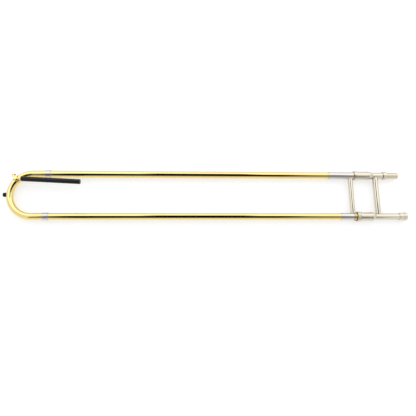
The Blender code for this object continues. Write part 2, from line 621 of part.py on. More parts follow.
def make_bell_end():
    """Neck tube over the inner tube, the collar, and the tapered tenon for the bell section."""
    bore = BELL_INNER_RADIUS + SEAT_GAP
    neck = turned("neck_tube", pipe_profile(NECK_LENGTH, NECK_RADIUS, bore))
    finish_piece(neck, NICKEL_SILVER, inner_slide, (NECK_START_X, HALF_SPACING, 0))
    collar_line = arc((COLLAR_ROUND, COLLAR_RADIUS - COLLAR_ROUND), COLLAR_ROUND, 180, 90)
    collar_line += [(COLLAR_LENGTH, COLLAR_RADIUS)]
    seat = TENON_ROOT_RADIUS + SEAT_GAP
    collar = turned("tenon_collar", bored(collar_line, [(0, seat), (COLLAR_LENGTH, seat)]))
    finish_piece(collar, NICKEL_SILVER, inner_slide, (TENON_START_X, HALF_SPACING, 0))
    outside = [(0, TENON_ROOT_RADIUS), (COLLAR_LENGTH, TENON_ROOT_RADIUS),
               (TENON_LENGTH - TENON_TIP_CHAMFER, TENON_TIP_RADIUS),
               (TENON_LENGTH, TENON_TIP_RADIUS - TENON_TIP_CHAMFER)]
    bore_line = [(0, BELL_BORE_RADIUS), (TENON_LENGTH, BELL_BORE_RADIUS)]
    tenon = turned("bell_tenon", bored(outside, bore_line))
    finish_piece(tenon, PLAIN_BRASS, inner_slide, (TENON_START_X, HALF_SPACING, 0))


def make_mouthpiece_end():
    """Receiver with its tapered socket, the bead at its mouth, and the leadpipe inside."""
    throat = RECEIVER_LENGTH - RECEIVER_TAPER_DEPTH
    seat = MOUTHPIECE_INNER_RADIUS + SEAT_GAP
    outside = [(0, RECEIVER_RADIUS), (RECEIVER_LENGTH, RECEIVER_RADIUS)]
    bore = [(0, seat), (throat, seat), (throat, RECEIVER_THROAT_RADIUS),
            (RECEIVER_LENGTH, RECEIVER_MOUTH_RADIUS)]
    receiver = turned("receiver_tube", bored(outside, bore))
    finish_piece(receiver, NICKEL_SILVER, inner_slide, (NECK_START_X, -HALF_SPACING, 0))

    seat = RECEIVER_RADIUS + SEAT_GAP
    rim = BEAD_RADIUS - BEAD_MOUTH_RADIUS
    rise = BEAD_RADIUS - BEAD_STEP_RADIUS
    step_edge = (BEAD_STEP_RADIUS - seat) / 2
    outside = [(0, BEAD_STEP_RADIUS - step_edge), (step_edge, BEAD_STEP_RADIUS)]
    outside += arc((BEAD_STEP_LENGTH + rise, BEAD_STEP_RADIUS), rise, 180, 90)
    outside += arc((BEAD_LENGTH - rim, BEAD_MOUTH_RADIUS), rim, 90, 0)
    bead = turned("receiver_bead", bored(outside, [(0, seat), (BEAD_LENGTH, seat)]))
    finish_piece(bead, NICKEL_SILVER, inner_slide, (RECEIVER_END_X - BEAD_LENGTH, -HALF_SPACING, 0))

    outer = MOUTHPIECE_BORE_RADIUS - SEAT_GAP
    bore = [(0, outer - LEADPIPE_WALL), (LEADPIPE_LENGTH - LEADPIPE_VENTURI_DEPTH, LEADPIPE_VENTURI_RADIUS),
            (LEADPIPE_LENGTH, RECEIVER_THROAT_RADIUS)]
    leadpipe = turned("leadpipe", bored([(0, outer), (LEADPIPE_LENGTH, outer)], bore))
    start = THROAT_X - SEAT_GAP - LEADPIPE_LENGTH
    finish_piece(leadpipe, PLAIN_BRASS, inner_slide, (start, -HALF_SPACING, 0))


def spring_half_length():
    """Half the coil's length, end wire middle to end wire middle."""
    return SPRING_PITCH * SPRING_TURNS / 2


def hinge_half_width():
    """Half the room between the saddle's ears: the spring's coil and a cheek on each side."""
    coil = spring_half_length() + SPRING_WIRE_RADIUS + SEAT_GAP
    return coil + CHEEK_THICKNESS + HINGE_CLEARANCE


def make_spout():
    """Drain spout on the bow, with the oval plate that is soldered round its foot."""
    seat = Matrix.Translation(key_place - Vector((BOW_CENTRE_X, 0, 0))) @ key_turn
    top = BOW_TUBE_RADIUS + SEAT_GAP + SPOUT_HEIGHT
    spout = bow_shape("water_spout", BOW_TUBE_RADIUS + SEAT_GAP + SPOUT_PLATE_THICKNESS)
    spout.data.transform(seat.inverted())
    oval = rod("oval", SPOUT_PLATE_WIDTH / 2, INSIDE_BOW, top, "Y")
    oval.data.transform(Matrix.Diagonal((SPOUT_PLATE_LENGTH / SPOUT_PLATE_WIDTH, 1, 1, 1)))
    combine(spout, oval, "INTERSECT")
    combine(spout, rod("stem", SPOUT_RADIUS, INSIDE_BOW, top, "Y"), "UNION")
    combine(spout, bow_allowance(seat), "DIFFERENCE")
    combine(spout, rod("bore", SPOUT_BORE_RADIUS, 0, 2 * top, "Y"), "DIFFERENCE")
    finish_piece(spout, LACQUERED_BRASS, key_seat)


def make_saddle():
    """Saddle soldered on the bow, its two ears carrying the water key's pin."""
    seat = Matrix.Translation(key_place - Vector((BOW_CENTRE_X, 0, 0))) @ key_turn
    reach = hinge_half_width() + EAR_THICKNESS
    top = BOW_TUBE_RADIUS + SEAT_GAP + SADDLE_BASE_THICKNESS
    base_reach = reach + SADDLE_MARGIN
    saddle = block("water_key_saddle", (-base_reach, -SADDLE_BASE_HALF_WIDTH, INSIDE_BOW),
                   (base_reach, SADDLE_BASE_HALF_WIDTH, top))
    outline = [(-EAR_RADIUS, INSIDE_BOW), (EAR_RADIUS, INSIDE_BOW)]
    outline += arc((0, PIN_Z), EAR_RADIUS, 0, 180, 2 * ARC_STEPS)
    for side in (-1, 1):
        near, far = sorted((side * hinge_half_width(), side * reach))
        combine(saddle, extruded("ear", outline, "X", near, far), "UNION")
    combine(saddle, bow_allowance(seat), "DIFFERENCE")
    hole = rod("hole", PIN_RADIUS + HINGE_CLEARANCE, -2 * reach, 2 * reach, "X")
    combine(saddle, shift_mesh(hole, (0, 0, PIN_Z)), "DIFFERENCE")
    finish_piece(saddle, LACQUERED_BRASS, key_seat)


def make_hinge_pin():
    """Steel pin through the ears and the lever's hinge tube, headed at both ends."""
    reach = hinge_half_width() + EAR_THICKNESS + HINGE_CLEARANCE
    profile = [(-reach - PIN_HEAD_LENGTH, 0), (-reach - PIN_HEAD_LENGTH, PIN_HEAD_RADIUS),
               (-reach, PIN_HEAD_RADIUS), (-reach, PIN_RADIUS), (reach, PIN_RADIUS), (reach, PIN_HEAD_RADIUS),
               (reach + PIN_HEAD_LENGTH, PIN_HEAD_RADIUS), (reach + PIN_HEAD_LENGTH, 0)]
    pin = turned_solid("water_key_pin", profile)
    finish_piece(pin, STEEL, key_seat, (0, 0, PIN_Z))


def spring_radius():
    tube = PIN_RADIUS + HINGE_CLEARANCE + HINGE_TUBE_WALL
    return tube + SEAT_GAP + SPRING_WIRE_RADIUS


def spring_points():
    """Centre line of the spring about the pin: a tail, the turns and a tail, both tails inwards."""
    radius = spring_radius()
    half = spring_half_length()
    count = round(SPRING_TURNS * SPRING_POINTS_PER_TURN)
    coil = []
    for step in range(count + 1):
        share = step / count
        angle = math.pi / 2 - math.tau * SPRING_TURNS * share
        coil.append(Vector((half * (2 * share - 1), radius * math.cos(angle), radius * math.sin(angle))))
    tail = Vector((0, -SPRING_TAIL, -SPRING_WIRE_RADIUS))
    return [coil[0] + tail, *coil, coil[-1] + tail]


def least_gap(points, wire_radius, apart):
    """Least clear space between stretches of a wire that are more than the given steps apart."""
    pairs = ((a, b) for a in range(len(points)) for b in range(a + apart, len(points)))
    return min((points[a] - points[b]).length for a, b in pairs) - 2 * wire_radius


def make_spring():
    """Torsion spring round the hinge tube, which holds the key shut."""
    points = spring_points()
    spring = bent_bar("water_key_spring", points, SPRING_WIRE_RADIUS, 1)
    finish_piece(spring, STEEL, key_seat, (0, 0, PIN_Z))
    gap = least_gap(points, SPRING_WIRE_RADIUS, SPRING_POINTS_PER_TURN // 2)
    print("water_key_spring: least gap to itself %.2f mm" % (gap * 1000))


def lever_heights():
    """Heights over the pin of the lever plate's underside and of the arms' middle."""
    under = CHEEK_RADIUS - PLATE_LAP
    return under, under + PLATE_THICKNESS / 2


def make_lever():
    """Water key: hinge tube with cheeks, the plate over them, the strap to the cup, and the long arm."""
    hinge = hinge_half_width() - HINGE_CLEARANCE
    bore = PIN_RADIUS + HINGE_CLEARANCE
    under, middle = lever_heights()
    cheek = hinge - CHEEK_THICKNESS
    tube = bore + HINGE_TUBE_WALL
    outside = [(-hinge, CHEEK_RADIUS), (-cheek, CHEEK_RADIUS), (-cheek, tube), (cheek, tube),
               (cheek, CHEEK_RADIUS), (hinge, CHEEK_RADIUS)]
    lever = turned("water_key_lever", bored(outside, [(-hinge, bore), (hinge, bore)]), SMALL_SEGMENTS)
    for side in (-1, 1):
        near, far = sorted((side * (cheek + PLATE_INSET), side * (hinge - PLATE_INSET / 2)))
        web = block("web", (near, -WEB_HALF_WIDTH, tube + SEAT_GAP), (far, WEB_HALF_WIDTH, middle))
        combine(lever, web, "UNION")
    reach = hinge - PLATE_INSET
    plate = block("plate", (-reach, -CHEEK_RADIUS, under), (reach, CHEEK_RADIUS, under + PLATE_THICKNESS))
    for limb in (plate, make_strap(middle), make_cup(), make_arm(middle)):
        combine(lever, limb, "UNION")
    finish_piece(lever, LACQUERED_BRASS, key_axis)


def cup_depths():
    """Distances out from the bow's centre line: cork face, cork back and the cup's outer face."""
    face = BOW_TUBE_RADIUS + SEAT_GAP + SPOUT_HEIGHT + SEAT_GAP
    back = face + CORK_PAD_THICKNESS
    return face, back, back + SEAT_GAP + CUP_BACK


def make_strap(middle):
    """Flat strap that arches from the plate over the tube and down the cup's back."""
    bm = bmesh.new()
    start = CHEEK_RADIUS / 2
    reach = cup_depths()[2] + STRAP_LAP - start
    half = STRAP_THICKNESS / 2
    corners = [bm.verts.new((x, start, middle + z)) for x, z in
               ((-STRAP_WIDTH / 2, -half), (STRAP_WIDTH / 2, -half), (STRAP_WIDTH / 2, half),
                (-STRAP_WIDTH / 2, half))]
    ring = [bm.edges.new(pair) for pair in zip(corners, corners[1:] + corners[:1])]
    last = turned_ring(bm, ring, (0, start, middle - reach), (1, 0, 0), -math.pi / 2, STRAP_STEPS)
    last = drawn_out(bm, last, (0, 0, -PIN_Z - CUP_RADIUS / 2 - (middle - reach)))
    for ends in (ring, last):
        bmesh.ops.edgeloop_fill(bm, edges=ends)
    return object_from(bm, "strap")


def make_cup():
    face, back, outer = cup_depths()
    cup = rod("cup", CUP_RADIUS, face + CUP_LIP, outer, "Y")
    hollow = rod("hollow", CUP_RADIUS - CUP_WALL, face - CUP_LIP, back + SEAT_GAP, "Y")
    return shift_mesh(combine(cup, hollow, "DIFFERENCE"), (0, 0, -PIN_Z))


def handle_frame(middle):
    """Where the handle starts and which way it runs, in the frame of the pin."""
    along = KEY_ANGLE + ARM_ANGLE
    start = Vector((math.sin(along), -math.cos(along), 0)) * ARM_LENGTH + Vector((0, 0, middle))
    along = KEY_ANGLE + HANDLE_ANGLE
    return start, Vector((math.sin(along), -math.cos(along), 0))


def make_arm(middle):
    """Tongue of the plate and the round arm on it, running on inside the handle as its core."""
    start, direction = handle_frame(middle)
    end = start + direction * (END_CAP_LENGTH + SEAT_GAP + HANDLE_LENGTH - HANDLE_END_WALL - SEAT_GAP)
    lift = Vector((0, 0, middle))
    root = lift + (start - lift).normalized() * ARM_ROOT
    arm = bent_bar("arm", [root, start, end], ARM_RADIUS, 3)
    half = PLATE_THICKNESS / 2 - TONGUE_INSET
    tongue = block("tongue", (0, -TONGUE_HALF_WIDTH, middle - half),
                   (TONGUE_LENGTH, TONGUE_HALF_WIDTH, middle + half))
    tongue.data.transform(Matrix.Rotation(KEY_ANGLE + ARM_ANGLE - math.pi / 2, 4, "Z"))
    return combine(arm, tongue, "UNION")


def make_handle():
    """Black sleeve over the arm, with a brass end cap where the arm comes out."""
    middle = lever_heights()[1]
    start, direction = handle_frame(middle)
    turn = direction.to_track_quat("X", "Z")
    bore = ARM_RADIUS + SEAT_GAP
    cap_line = arc((END_CAP_ROUND, END_CAP_RADIUS - END_CAP_ROUND), END_CAP_ROUND, 180, 90)
    cap_line += [(END_CAP_LENGTH, END_CAP_RADIUS)]
    cap = turned("handle_end_cap", bored(cap_line, [(0, bore), (END_CAP_LENGTH, bore)]), SMALL_SEGMENTS)
    finish_piece(cap, LACQUERED_BRASS, key_axis, start)
    cap.rotation_euler = turn.to_euler()

    hole_end = HANDLE_LENGTH - HANDLE_END_WALL
    near = arc((HANDLE_END_ROUND, HANDLE_RADIUS - HANDLE_END_ROUND), HANDLE_END_ROUND, 180, 90)
    far = arc((HANDLE_LENGTH - HANDLE_END_ROUND, HANDLE_RADIUS - HANDLE_END_ROUND), HANDLE_END_ROUND, 90, 0)
    profile = [(hole_end, 0), (hole_end, bore), (0, bore), *near, *far, (HANDLE_LENGTH, 0)]
    handle = turned_solid("water_key_handle", profile)
    finish_piece(handle, BLACK_SLEEVE, key_axis, start + direction * (END_CAP_LENGTH + SEAT_GAP))
    handle.rotation_euler = turn.to_euler()


def make_cork_pad():
    """Cork in the cup, which closes the spout."""
    face, back = cup_depths()[:2]
    pad = rod("water_key_cork", CUP_RADIUS - CUP_WALL - SEAT_GAP, face, back, "Y")
    finish_piece(shift_mesh(pad, (0, 0, -PIN_Z)), CORK, key_axis)


def main():
    make_bow()
    make_bumper()
    make_outer_slide()
    make_inner_tubes()
    make_barrels()
    make_lock_ring()
    make_brace("inner_brace", INNER_BRACE_RADIUS, BARREL_END_X + INNER_BRACE_SETBACK, NECK_RADIUS,
               RECEIVER_RADIUS, inner_slide)
    make_bell_end()
    make_mouthpiece_end()
    make_spout()
    make_saddle()
    make_hinge_pin()
    make_spring()
    make_lever()
    make_handle()
    make_cork_pad()
    bpy.context.view_layer.update()


main()
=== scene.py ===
"""Looks of a contrabass trombone's hand slide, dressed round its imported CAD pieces.

Metres in the row's frame: the bow at -X, the receiver and the tenon at +X, the bell leg at +Y, +Z up.
Profiles are given in millimetres, as (distance along the leg, radius) from the piece's left end.
"""

import math

import bmesh
import bpy
from mathutils import Matrix, Vector


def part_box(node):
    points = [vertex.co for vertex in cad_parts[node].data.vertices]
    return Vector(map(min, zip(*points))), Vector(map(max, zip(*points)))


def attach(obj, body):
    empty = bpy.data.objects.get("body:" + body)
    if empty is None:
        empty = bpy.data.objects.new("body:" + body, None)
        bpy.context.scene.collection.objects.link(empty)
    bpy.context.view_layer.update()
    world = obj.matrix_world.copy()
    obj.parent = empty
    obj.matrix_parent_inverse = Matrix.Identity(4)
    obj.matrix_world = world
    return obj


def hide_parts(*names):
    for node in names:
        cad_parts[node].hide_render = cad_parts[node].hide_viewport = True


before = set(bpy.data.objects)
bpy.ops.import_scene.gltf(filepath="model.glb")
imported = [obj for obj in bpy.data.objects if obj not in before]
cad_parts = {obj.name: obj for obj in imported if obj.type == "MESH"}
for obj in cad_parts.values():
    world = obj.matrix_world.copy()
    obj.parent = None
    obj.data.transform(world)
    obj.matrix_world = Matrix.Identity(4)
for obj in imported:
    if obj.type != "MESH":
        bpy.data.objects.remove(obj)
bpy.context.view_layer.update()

MM = 0.001
FINE = 96                   # sides of a tube that is seen
SMALL = 48                  # sides of a pin or other small fitting
BOW_STEPS = 72              # steps of the bow's half circle
CREASE = math.radians(25)   # edges sharper than this stay crisp
EASE = 0.12                 # mm, the polished-off edge of a turned piece
SEAT_GAP = 0.3              # mm between neighbouring pieces, soldered or running

# The camera, fitted to the edges of the photograph
EYE = Vector((-0.05912, -0.24233, 0.99682))
EYE_RIGHT = Vector((0.99842, -0.01035, 0.05522))
EYE_FORWARD = Vector((0.05617, 0.20884, -0.97633))
LENS_MM = 35.31
SENSOR_MM = 36


def centre_of(node):
    low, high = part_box(node)
    return (low + high) / 2


def start_of(node):
    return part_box(node)[0].x


BELL_Y = centre_of("outer_tube_bell").y
MOUTHPIECE_Y = centre_of("outer_tube_mouthpiece").y
AXIS_Z = centre_of("outer_tube_bell").z
BELL_RADIUS = 8.65          # mm, outside of the outer tube on the bell leg
MOUTHPIECE_RADIUS = 8.55
BOW_RADIUS = 8.6
BOW_LEG = 34.6              # mm of straight tube at each end of the bow
HALF_SPACING = (BELL_Y - MOUTHPIECE_Y) / 2
BOW_CENTRE = Vector((start_of("slide_bow") + BOW_RADIUS * MM + HALF_SPACING,
                     (BELL_Y + MOUTHPIECE_Y) / 2, AXIS_Z))
KEY_ANGLE = math.radians(45.5)
KEY_TURN = Matrix.Rotation(math.pi / 2 - KEY_ANGLE, 4, "Z")
KEY_SIDE = Vector((-math.cos(KEY_ANGLE), math.sin(KEY_ANGLE), 0))     # from the bow's centre to the key
KEY_SEAT = Matrix.Translation(BOW_CENTRE + HALF_SPACING * KEY_SIDE) @ KEY_TURN
PIN_HEIGHT = 14.0           # mm over the bow's centre line
KEY_PIN = KEY_SEAT @ Matrix.Translation((0, 0, PIN_HEIGHT * MM))


# Camera, lights and the white surroundings, in metres

GAP_HEIGHT = 1.15
# Each patch of the gap runs from clear to full over the first two numbers and back over the last two
GAP_CORE = (("X", -0.94, -0.78, 0.48, 0.70), ("Y", -1.75, -1.15, 0.00, 0.18))
GAP_RIM = (("X", -1.60, -1.30, 1.60, 1.90), ("Y", -3.20, -2.60, 0.00, 0.22))
GAP_CAMERA = (("X", -0.34, -0.20, 0.24, 0.38), ("Y", -0.40, -0.10, 0.38, 0.54))
CORE_GLOW = 0.008
RIM_GLOW = 0.36
SWING_MIDDLE = 0.05         # X that SWING_START is measured from
SWING_START = 0.70          # beyond it the gap swings away from the bell leg
SWING_RATE = 2.6            # metres in Y for each further metre in X
TENT_WHITE = (0.93, 0.93, 0.93, 1)
SOFT_BOX_SIZE = (4.4, 1.5)
SOFT_BOX_WATTS = 12.5
SOFT_BOX_PLACE = (0, 0.95, 1.2)
SOFT_BOX_TILT = math.radians(-32)
FLOOR_GLOW = 0.58
FLOOR_PAINT = (0.46, 0.46, 0.46, 1)


def set_camera():
    up = EYE_RIGHT.cross(EYE_FORWARD).normalized()
    right = EYE_FORWARD.cross(up).normalized()
    back = -EYE_FORWARD.normalized()
    turn = Matrix((right, up, back)).transposed()
    data = bpy.data.cameras.new("camera")
    data.sensor_width = SENSOR_MM
    data.lens = LENS_MM
    data.clip_start = 0.01
    camera = bpy.data.objects.new("camera", data)
    camera.matrix_world = Matrix.Translation(EYE) @ turn.to_4x4()
    bpy.context.collection.objects.link(camera)
    bpy.context.scene.camera = camera
    bpy.context.scene.view_settings.view_transform = "Standard"


def linear(hex_colour):
    """The shader's RGBA for an sRGB hex colour."""
    channels = (int(hex_colour[i:i + 2], 16) / 255 for i in (0, 2, 4))
    return (*(c / 12.92 if c <= 0.04045 else ((c + 0.055) / 1.055) ** 2.4 for c in channels), 1)


def add_node(tree, kind, settings, links=()):
    """Add a node. Settings name a socket or a property; links pair a socket with another node's output."""
    node = tree.nodes.new(kind)
    for name, value in settings.items():
        if isinstance(name, int) or name in node.inputs:
            node.inputs[name].default_value = value
        else:
            setattr(node, name, value)
    for name, output in links:
        tree.links.new(output, node.inputs[name])
    return node


def combine(tree, operation, first, second):
    """The output of one Math node."""
    return add_node(tree, "ShaderNodeMath", {"operation": operation}, [(0, first), (1, second)]).outputs[0]


def soft_patch(tree, axes, limits):
    """1 inside a soft-edged rectangle of the two axes, 0 outside it. Limits are like GAP_CORE."""
    mask = None
    for axis, out_low, in_low, in_high, out_high in limits:
        for start, end in ((out_low, in_low), (out_high, in_high)):
            side = add_node(tree, "ShaderNodeMapRange",
                            {"interpolation_type": "SMOOTHSTEP", "From Min": start, "From Max": end},
                            [("Value", axes[axis])])
            result = side.outputs["Result"]
            mask = result if mask is None else combine(tree, "MULTIPLY", mask, result)
    return mask


def loose_object(bm, name):
    """Turn a bmesh into an object in the scene."""
    mesh = bpy.data.meshes.new(name)
    bm.to_mesh(mesh)
    bm.free()
    item = bpy.data.objects.new(name, mesh)
    bpy.context.collection.objects.link(item)
    return item


def level_sheet(name, half_width, height, material_name):
    """A level square round the origin, and the empty node tree of its material."""
    bm = bmesh.new()
    bmesh.ops.create_grid(bm, x_segments=1, y_segments=1, size=half_width,
                          matrix=Matrix.Translation((0, 0, height)))
    sheet = loose_object(bm, name)
    material = bpy.data.materials.new(material_name)
    material.use_nodes = True
    material.node_tree.nodes.clear()
    sheet.data.materials.append(material)
    return sheet, material.node_tree


def make_dark_gap():
    """The gap in the white tent where the camera looks in: the dark line along every polished tube."""
    gap, tree = level_sheet("tent_gap", 4, GAP_HEIGHT, "dark_gap_in_white_tent")
    place = add_node(tree, "ShaderNodeTexCoord", {})
    axes = add_node(tree, "ShaderNodeSeparateXYZ", {}, [("Vector", place.outputs["Object"])]).outputs
    offset = add_node(tree, "ShaderNodeMath", {"operation": "SUBTRACT", 1: SWING_MIDDLE}, [(0, axes["X"])])
    distance = add_node(tree, "ShaderNodeMath", {"operation": "ABSOLUTE"}, [(0, offset.outputs[0])])
    beyond = add_node(tree, "ShaderNodeMath", {"operation": "SUBTRACT", 1: SWING_START},
                      [(0, distance.outputs[0])])
    past = add_node(tree, "ShaderNodeMath", {"operation": "MAXIMUM", 1: 0}, [(0, beyond.outputs[0])])
    swung = add_node(tree, "ShaderNodeMath", {"operation": "MULTIPLY_ADD", 1: SWING_RATE},
                     [(0, past.outputs[0]), (2, axes["Y"])]).outputs[0]
    bent = {"X": axes["X"], "Y": swung}
    core = soft_patch(tree, bent, GAP_CORE)
    rim = soft_patch(tree, bent, GAP_RIM)
    camera = soft_patch(tree, axes, GAP_CAMERA)
    dark = combine(tree, "MAXIMUM", core, camera)
    either = combine(tree, "MAXIMUM", dark, rim)
    level = add_node(tree, "ShaderNodeMapRange", {"To Min": RIM_GLOW, "To Max": CORE_GLOW}, [("Value", dark)])
    dim = add_node(tree, "ShaderNodeEmission", {}, [("Strength", level.outputs["Result"])])
    clear = add_node(tree, "ShaderNodeBsdfTransparent", {})
    mixed = add_node(tree, "ShaderNodeMixShader", {}, [
        ("Fac", either), (1, clear.outputs[0]), (2, dim.outputs[0])])
    add_node(tree, "ShaderNodeOutputMaterial", {}, [("Surface", mixed.outputs[0])])
    gap.visible_camera = False
    gap.visible_shadow = False
    gap.visible_diffuse = False


def make_light_tent():
    """White surroundings, and a long soft box beyond the bell leg that brightens the tubes' upper sides."""
    world = bpy.data.worlds.new("white_tent")
    bpy.context.scene.world = world
    world.use_nodes = True
    tree = world.node_tree
    tree.nodes.clear()
    path = add_node(tree, "ShaderNodeLightPath", {})
    tent = add_node(tree, "ShaderNodeBackground", {"Color": TENT_WHITE})
    backdrop = add_node(tree, "ShaderNodeBackground", {"Color": (1, 1, 1, 1)})
    mixed = add_node(tree, "ShaderNodeMixShader", {}, [
        ("Fac", path.outputs["Is Camera Ray"]), (1, tent.outputs[0]), (2, backdrop.outputs[0])])
    add_node(tree, "ShaderNodeOutputWorld", {}, [("Surface", mixed.outputs[0])])

    box = bpy.data.lights.new("soft_box", "AREA")
    box.shape = "RECTANGLE"
    box.size, box.size_y = SOFT_BOX_SIZE
    box.energy = SOFT_BOX_WATTS
    lamp = bpy.data.objects.new("soft_box", box)
    lamp.matrix_world = Matrix.Translation(SOFT_BOX_PLACE) @ Matrix.Rotation(SOFT_BOX_TILT, 4, "X")
    lamp.visible_camera = False
    bpy.context.collection.objects.link(lamp)


def make_floor():
    """White tabletop. A share of its own light keeps it at the photograph's white outside the shadows."""
    floor, tree = level_sheet("floor", 6, 0, "white_tabletop")
    path = add_node(tree, "ShaderNodeLightPath", {}).outputs
    seen = combine(tree, "MAXIMUM", path["Is Camera Ray"], path["Is Glossy Ray"])
    seen = combine(tree, "MAXIMUM", seen, path["Is Transmission Ray"])
    strength = add_node(tree, "ShaderNodeMath", {"operation": "MULTIPLY", 1: FLOOR_GLOW}, [(0, seen)])
    paint = add_node(tree, "ShaderNodeBsdfDiffuse", {"Color": FLOOR_PAINT})
    glow = add_node(tree, "ShaderNodeEmission", {}, [("Strength", strength.outputs[0])])
    both = add_node(tree, "ShaderNodeAddShader", {}, [(0, paint.outputs[0]), (1, glow.outputs[0])])
    add_node(tree, "ShaderNodeOutputMaterial", {}, [("Surface", both.outputs[0])])


# Finishes. Patterns are drawn at these widths in mm

TONE_DRIFT = 60
SCRATCH = 0.8               # a few hundredths in life, but the render's pixels would lose them
TARNISH_PATCH = 5
TOOL_MARK = 0.35            # the lathe's feed is some 0.12 in life, which would alias
WAVE_PERIOD = 0.314         # repeat of the wave texture at a scale of 1
RUBBED_PATCH = 18
CORK_CELL = 1.1             # 0.04 in life
CORK_PORE = 0.9


def new_finish(name):
    """A material with its Principled shader, its tree and the object's own coordinates in millimetres."""
    material = bpy.data.materials.new(name)
    material.use_nodes = True
    tree = material.node_tree
    place = add_node(tree, "ShaderNodeTexCoord", {})
    in_mm = add_node(tree, "ShaderNodeVectorMath", {"operation": "SCALE", "Scale": 1 / MM},
                     [(0, place.outputs["Object"])])
    return material, tree, tree.nodes["Principled BSDF"], in_mm.outputs[0]


def colour_by(tree, shader, pattern, light, dark):
    """Run the colour between two hex tones."""
    tone = add_node(tree, "ShaderNodeMix", {"data_type": "RGBA", 6: linear(light), 7: linear(dark)},
                    [(0, pattern)])
    tree.links.new(tone.outputs[2], shader.inputs["Base Color"])


def roughen_by(tree, shader, pattern, smooth, dull, low=0, high=1):
    """Run the roughness from smooth to dull while the pattern runs from low to high."""
    gloss = add_node(tree, "ShaderNodeMapRange", {
        "From Min": low, "From Max": high, "To Min": smooth, "To Max": dull}, [("Value", pattern)])
    tree.links.new(gloss.outputs["Result"], shader.inputs["Roughness"])


def emboss_by(tree, shader, pattern, strength, depth):
    """Raise a pattern out of the surface, its depth in mm."""
    relief = add_node(tree, "ShaderNodeBump", {"Strength": strength, "Distance": depth * MM},
                      [("Height", pattern)])
    tree.links.new(relief.outputs[0], shader.inputs["Normal"])


def polished_metal(name, light, dark, smooth, dull, coat=0):
    """Buffed metal: its tone drifts along the piece, and fine buffing scratches break its gloss.

    Light and dark are the hex tones, smooth and dull the limits of roughness, coat the lacquer's weight.
    """
    material, tree, shader, in_mm = new_finish(name)
    drift = add_node(tree, "ShaderNodeTexNoise", {"Scale": 1 / TONE_DRIFT, "Detail": 2}, [("Vector", in_mm)])
    colour_by(tree, shader, drift.outputs[0], light, dark)
    # Real buffing scratches are a few hundredths of a millimetre wide and are drawn coarser, SCRATCH wide
    stretch = add_node(tree, "ShaderNodeVectorMath", {"operation": "MULTIPLY", 1: (0.12, 1, 1)}, [(0, in_mm)])
    scratches = add_node(tree, "ShaderNodeTexNoise", {"Scale": 1 / SCRATCH, "Detail": 3},
                         [("Vector", stretch.outputs[0])])
    roughen_by(tree, shader, scratches.outputs[0], smooth, dull, 0.3, 0.7)
    emboss_by(tree, shader, scratches.outputs[0], 0.03, 0.02)
    shader.inputs["Metallic"].default_value = 1
    shader.inputs["Coat Weight"].default_value = coat
    shader.inputs["Coat Roughness"].default_value = 0.03
    shader.inputs["Coat IOR"].default_value = 2.0      # real lacquer has 1.5; matched to the photo
    return material


def turned_brass(name, light, dark):
    """Bare brass, never polished: tool marks run round the piece, and it has tarnished in patches."""
    material, tree, shader, in_mm = new_finish(name)
    tarnish = add_node(tree, "ShaderNodeTexNoise", {
        "Scale": 1 / TARNISH_PATCH, "Detail": 4, "Roughness": 0.6}, [("Vector", in_mm)])
    colour_by(tree, shader, tarnish.outputs[0], light, dark)
    # The lathe's feed is about 0.12 mm a turn and is drawn coarser, TOOL_MARK apart
    marks = add_node(tree, "ShaderNodeTexWave", {
        "wave_type": "BANDS", "bands_direction": "X", "Scale": WAVE_PERIOD / TOOL_MARK, "Distortion": 0.6},
        [("Vector", in_mm)])
    emboss_by(tree, shader, marks.outputs[1], 0.25, 0.03)
    roughen_by(tree, shader, tarnish.outputs[0], 0.10, 0.20)
    shader.inputs["Metallic"].default_value = 1
    return material


def moulded_black(name, colour, worn, smooth, dull, grain_mm):
    """Black rubber or vinyl from a mould: a fine grain, and patches that hands have rubbed.

    The grain is about 0.1 mm in the real skin and is drawn coarser, grain_mm wide, to be seen at all.
    """
    material, tree, shader, in_mm = new_finish(name)
    rub = add_node(tree, "ShaderNodeTexNoise", {"Scale": 1 / RUBBED_PATCH, "Detail": 3}, [("Vector", in_mm)])
    colour_by(tree, shader, rub.outputs[0], colour, worn)
    roughen_by(tree, shader, rub.outputs[0], smooth, dull)
    grain = add_node(tree, "ShaderNodeTexNoise", {"Scale": 1 / grain_mm, "Detail": 2}, [("Vector", in_mm)])
    emboss_by(tree, shader, grain.outputs[0], 0.2, 0.04)
    shader.inputs["IOR"].default_value = 1.38
    return material


def cut_cork(name):
    """Natural cork, cut: pale, with brown pores. Its cells are drawn coarser than life, CORK_CELL wide."""
    material, tree, shader, in_mm = new_finish(name)
    cells = add_node(tree, "ShaderNodeTexVoronoi", {"Scale": 1 / CORK_CELL}, [("Vector", in_mm)])
    pores = add_node(tree, "ShaderNodeTexNoise", {"Scale": 1 / CORK_PORE, "Detail": 5, "Roughness": 0.7},
                     [("Vector", in_mm)])
    ramp = add_node(tree, "ShaderNodeValToRGB", {}, [("Fac", pores.outputs[0])])
    for stop, position, colour in zip(ramp.color_ramp.elements, (0.36, 0.60), ("5C3F24", "B98F63")):
        stop.position = position
        stop.color = linear(colour)
    tree.links.new(ramp.outputs[0], shader.inputs["Base Color"])
    emboss_by(tree, shader, cells.outputs["Distance"], 0.5, 0.1)
    shader.inputs["Roughness"].default_value = 0.9
    return material


# Clear lacquer over buffed yellow brass: a warm gold with a second, whiter and sharper highlight on top
LACQUERED_BRASS = polished_metal("lacquered_yellow_brass", "F2D987", "EACE72", 0.05, 0.09, 1.0)
# Solid nickel silver, buffed: grey with a warm, faintly yellow cast and slightly softened reflections
NICKEL_SILVER = polished_metal("polished_nickel_silver", "DDD6C6", "D0C8B5", 0.07, 0.12)
# Thin nickel plate on brass: a cooler grey than the solid alloy, with the crispness of a plated skin
NICKEL_PLATE = polished_metal("nickel_plated_sleeve", "DAD6D2", "CDC9C5", 0.06, 0.10)
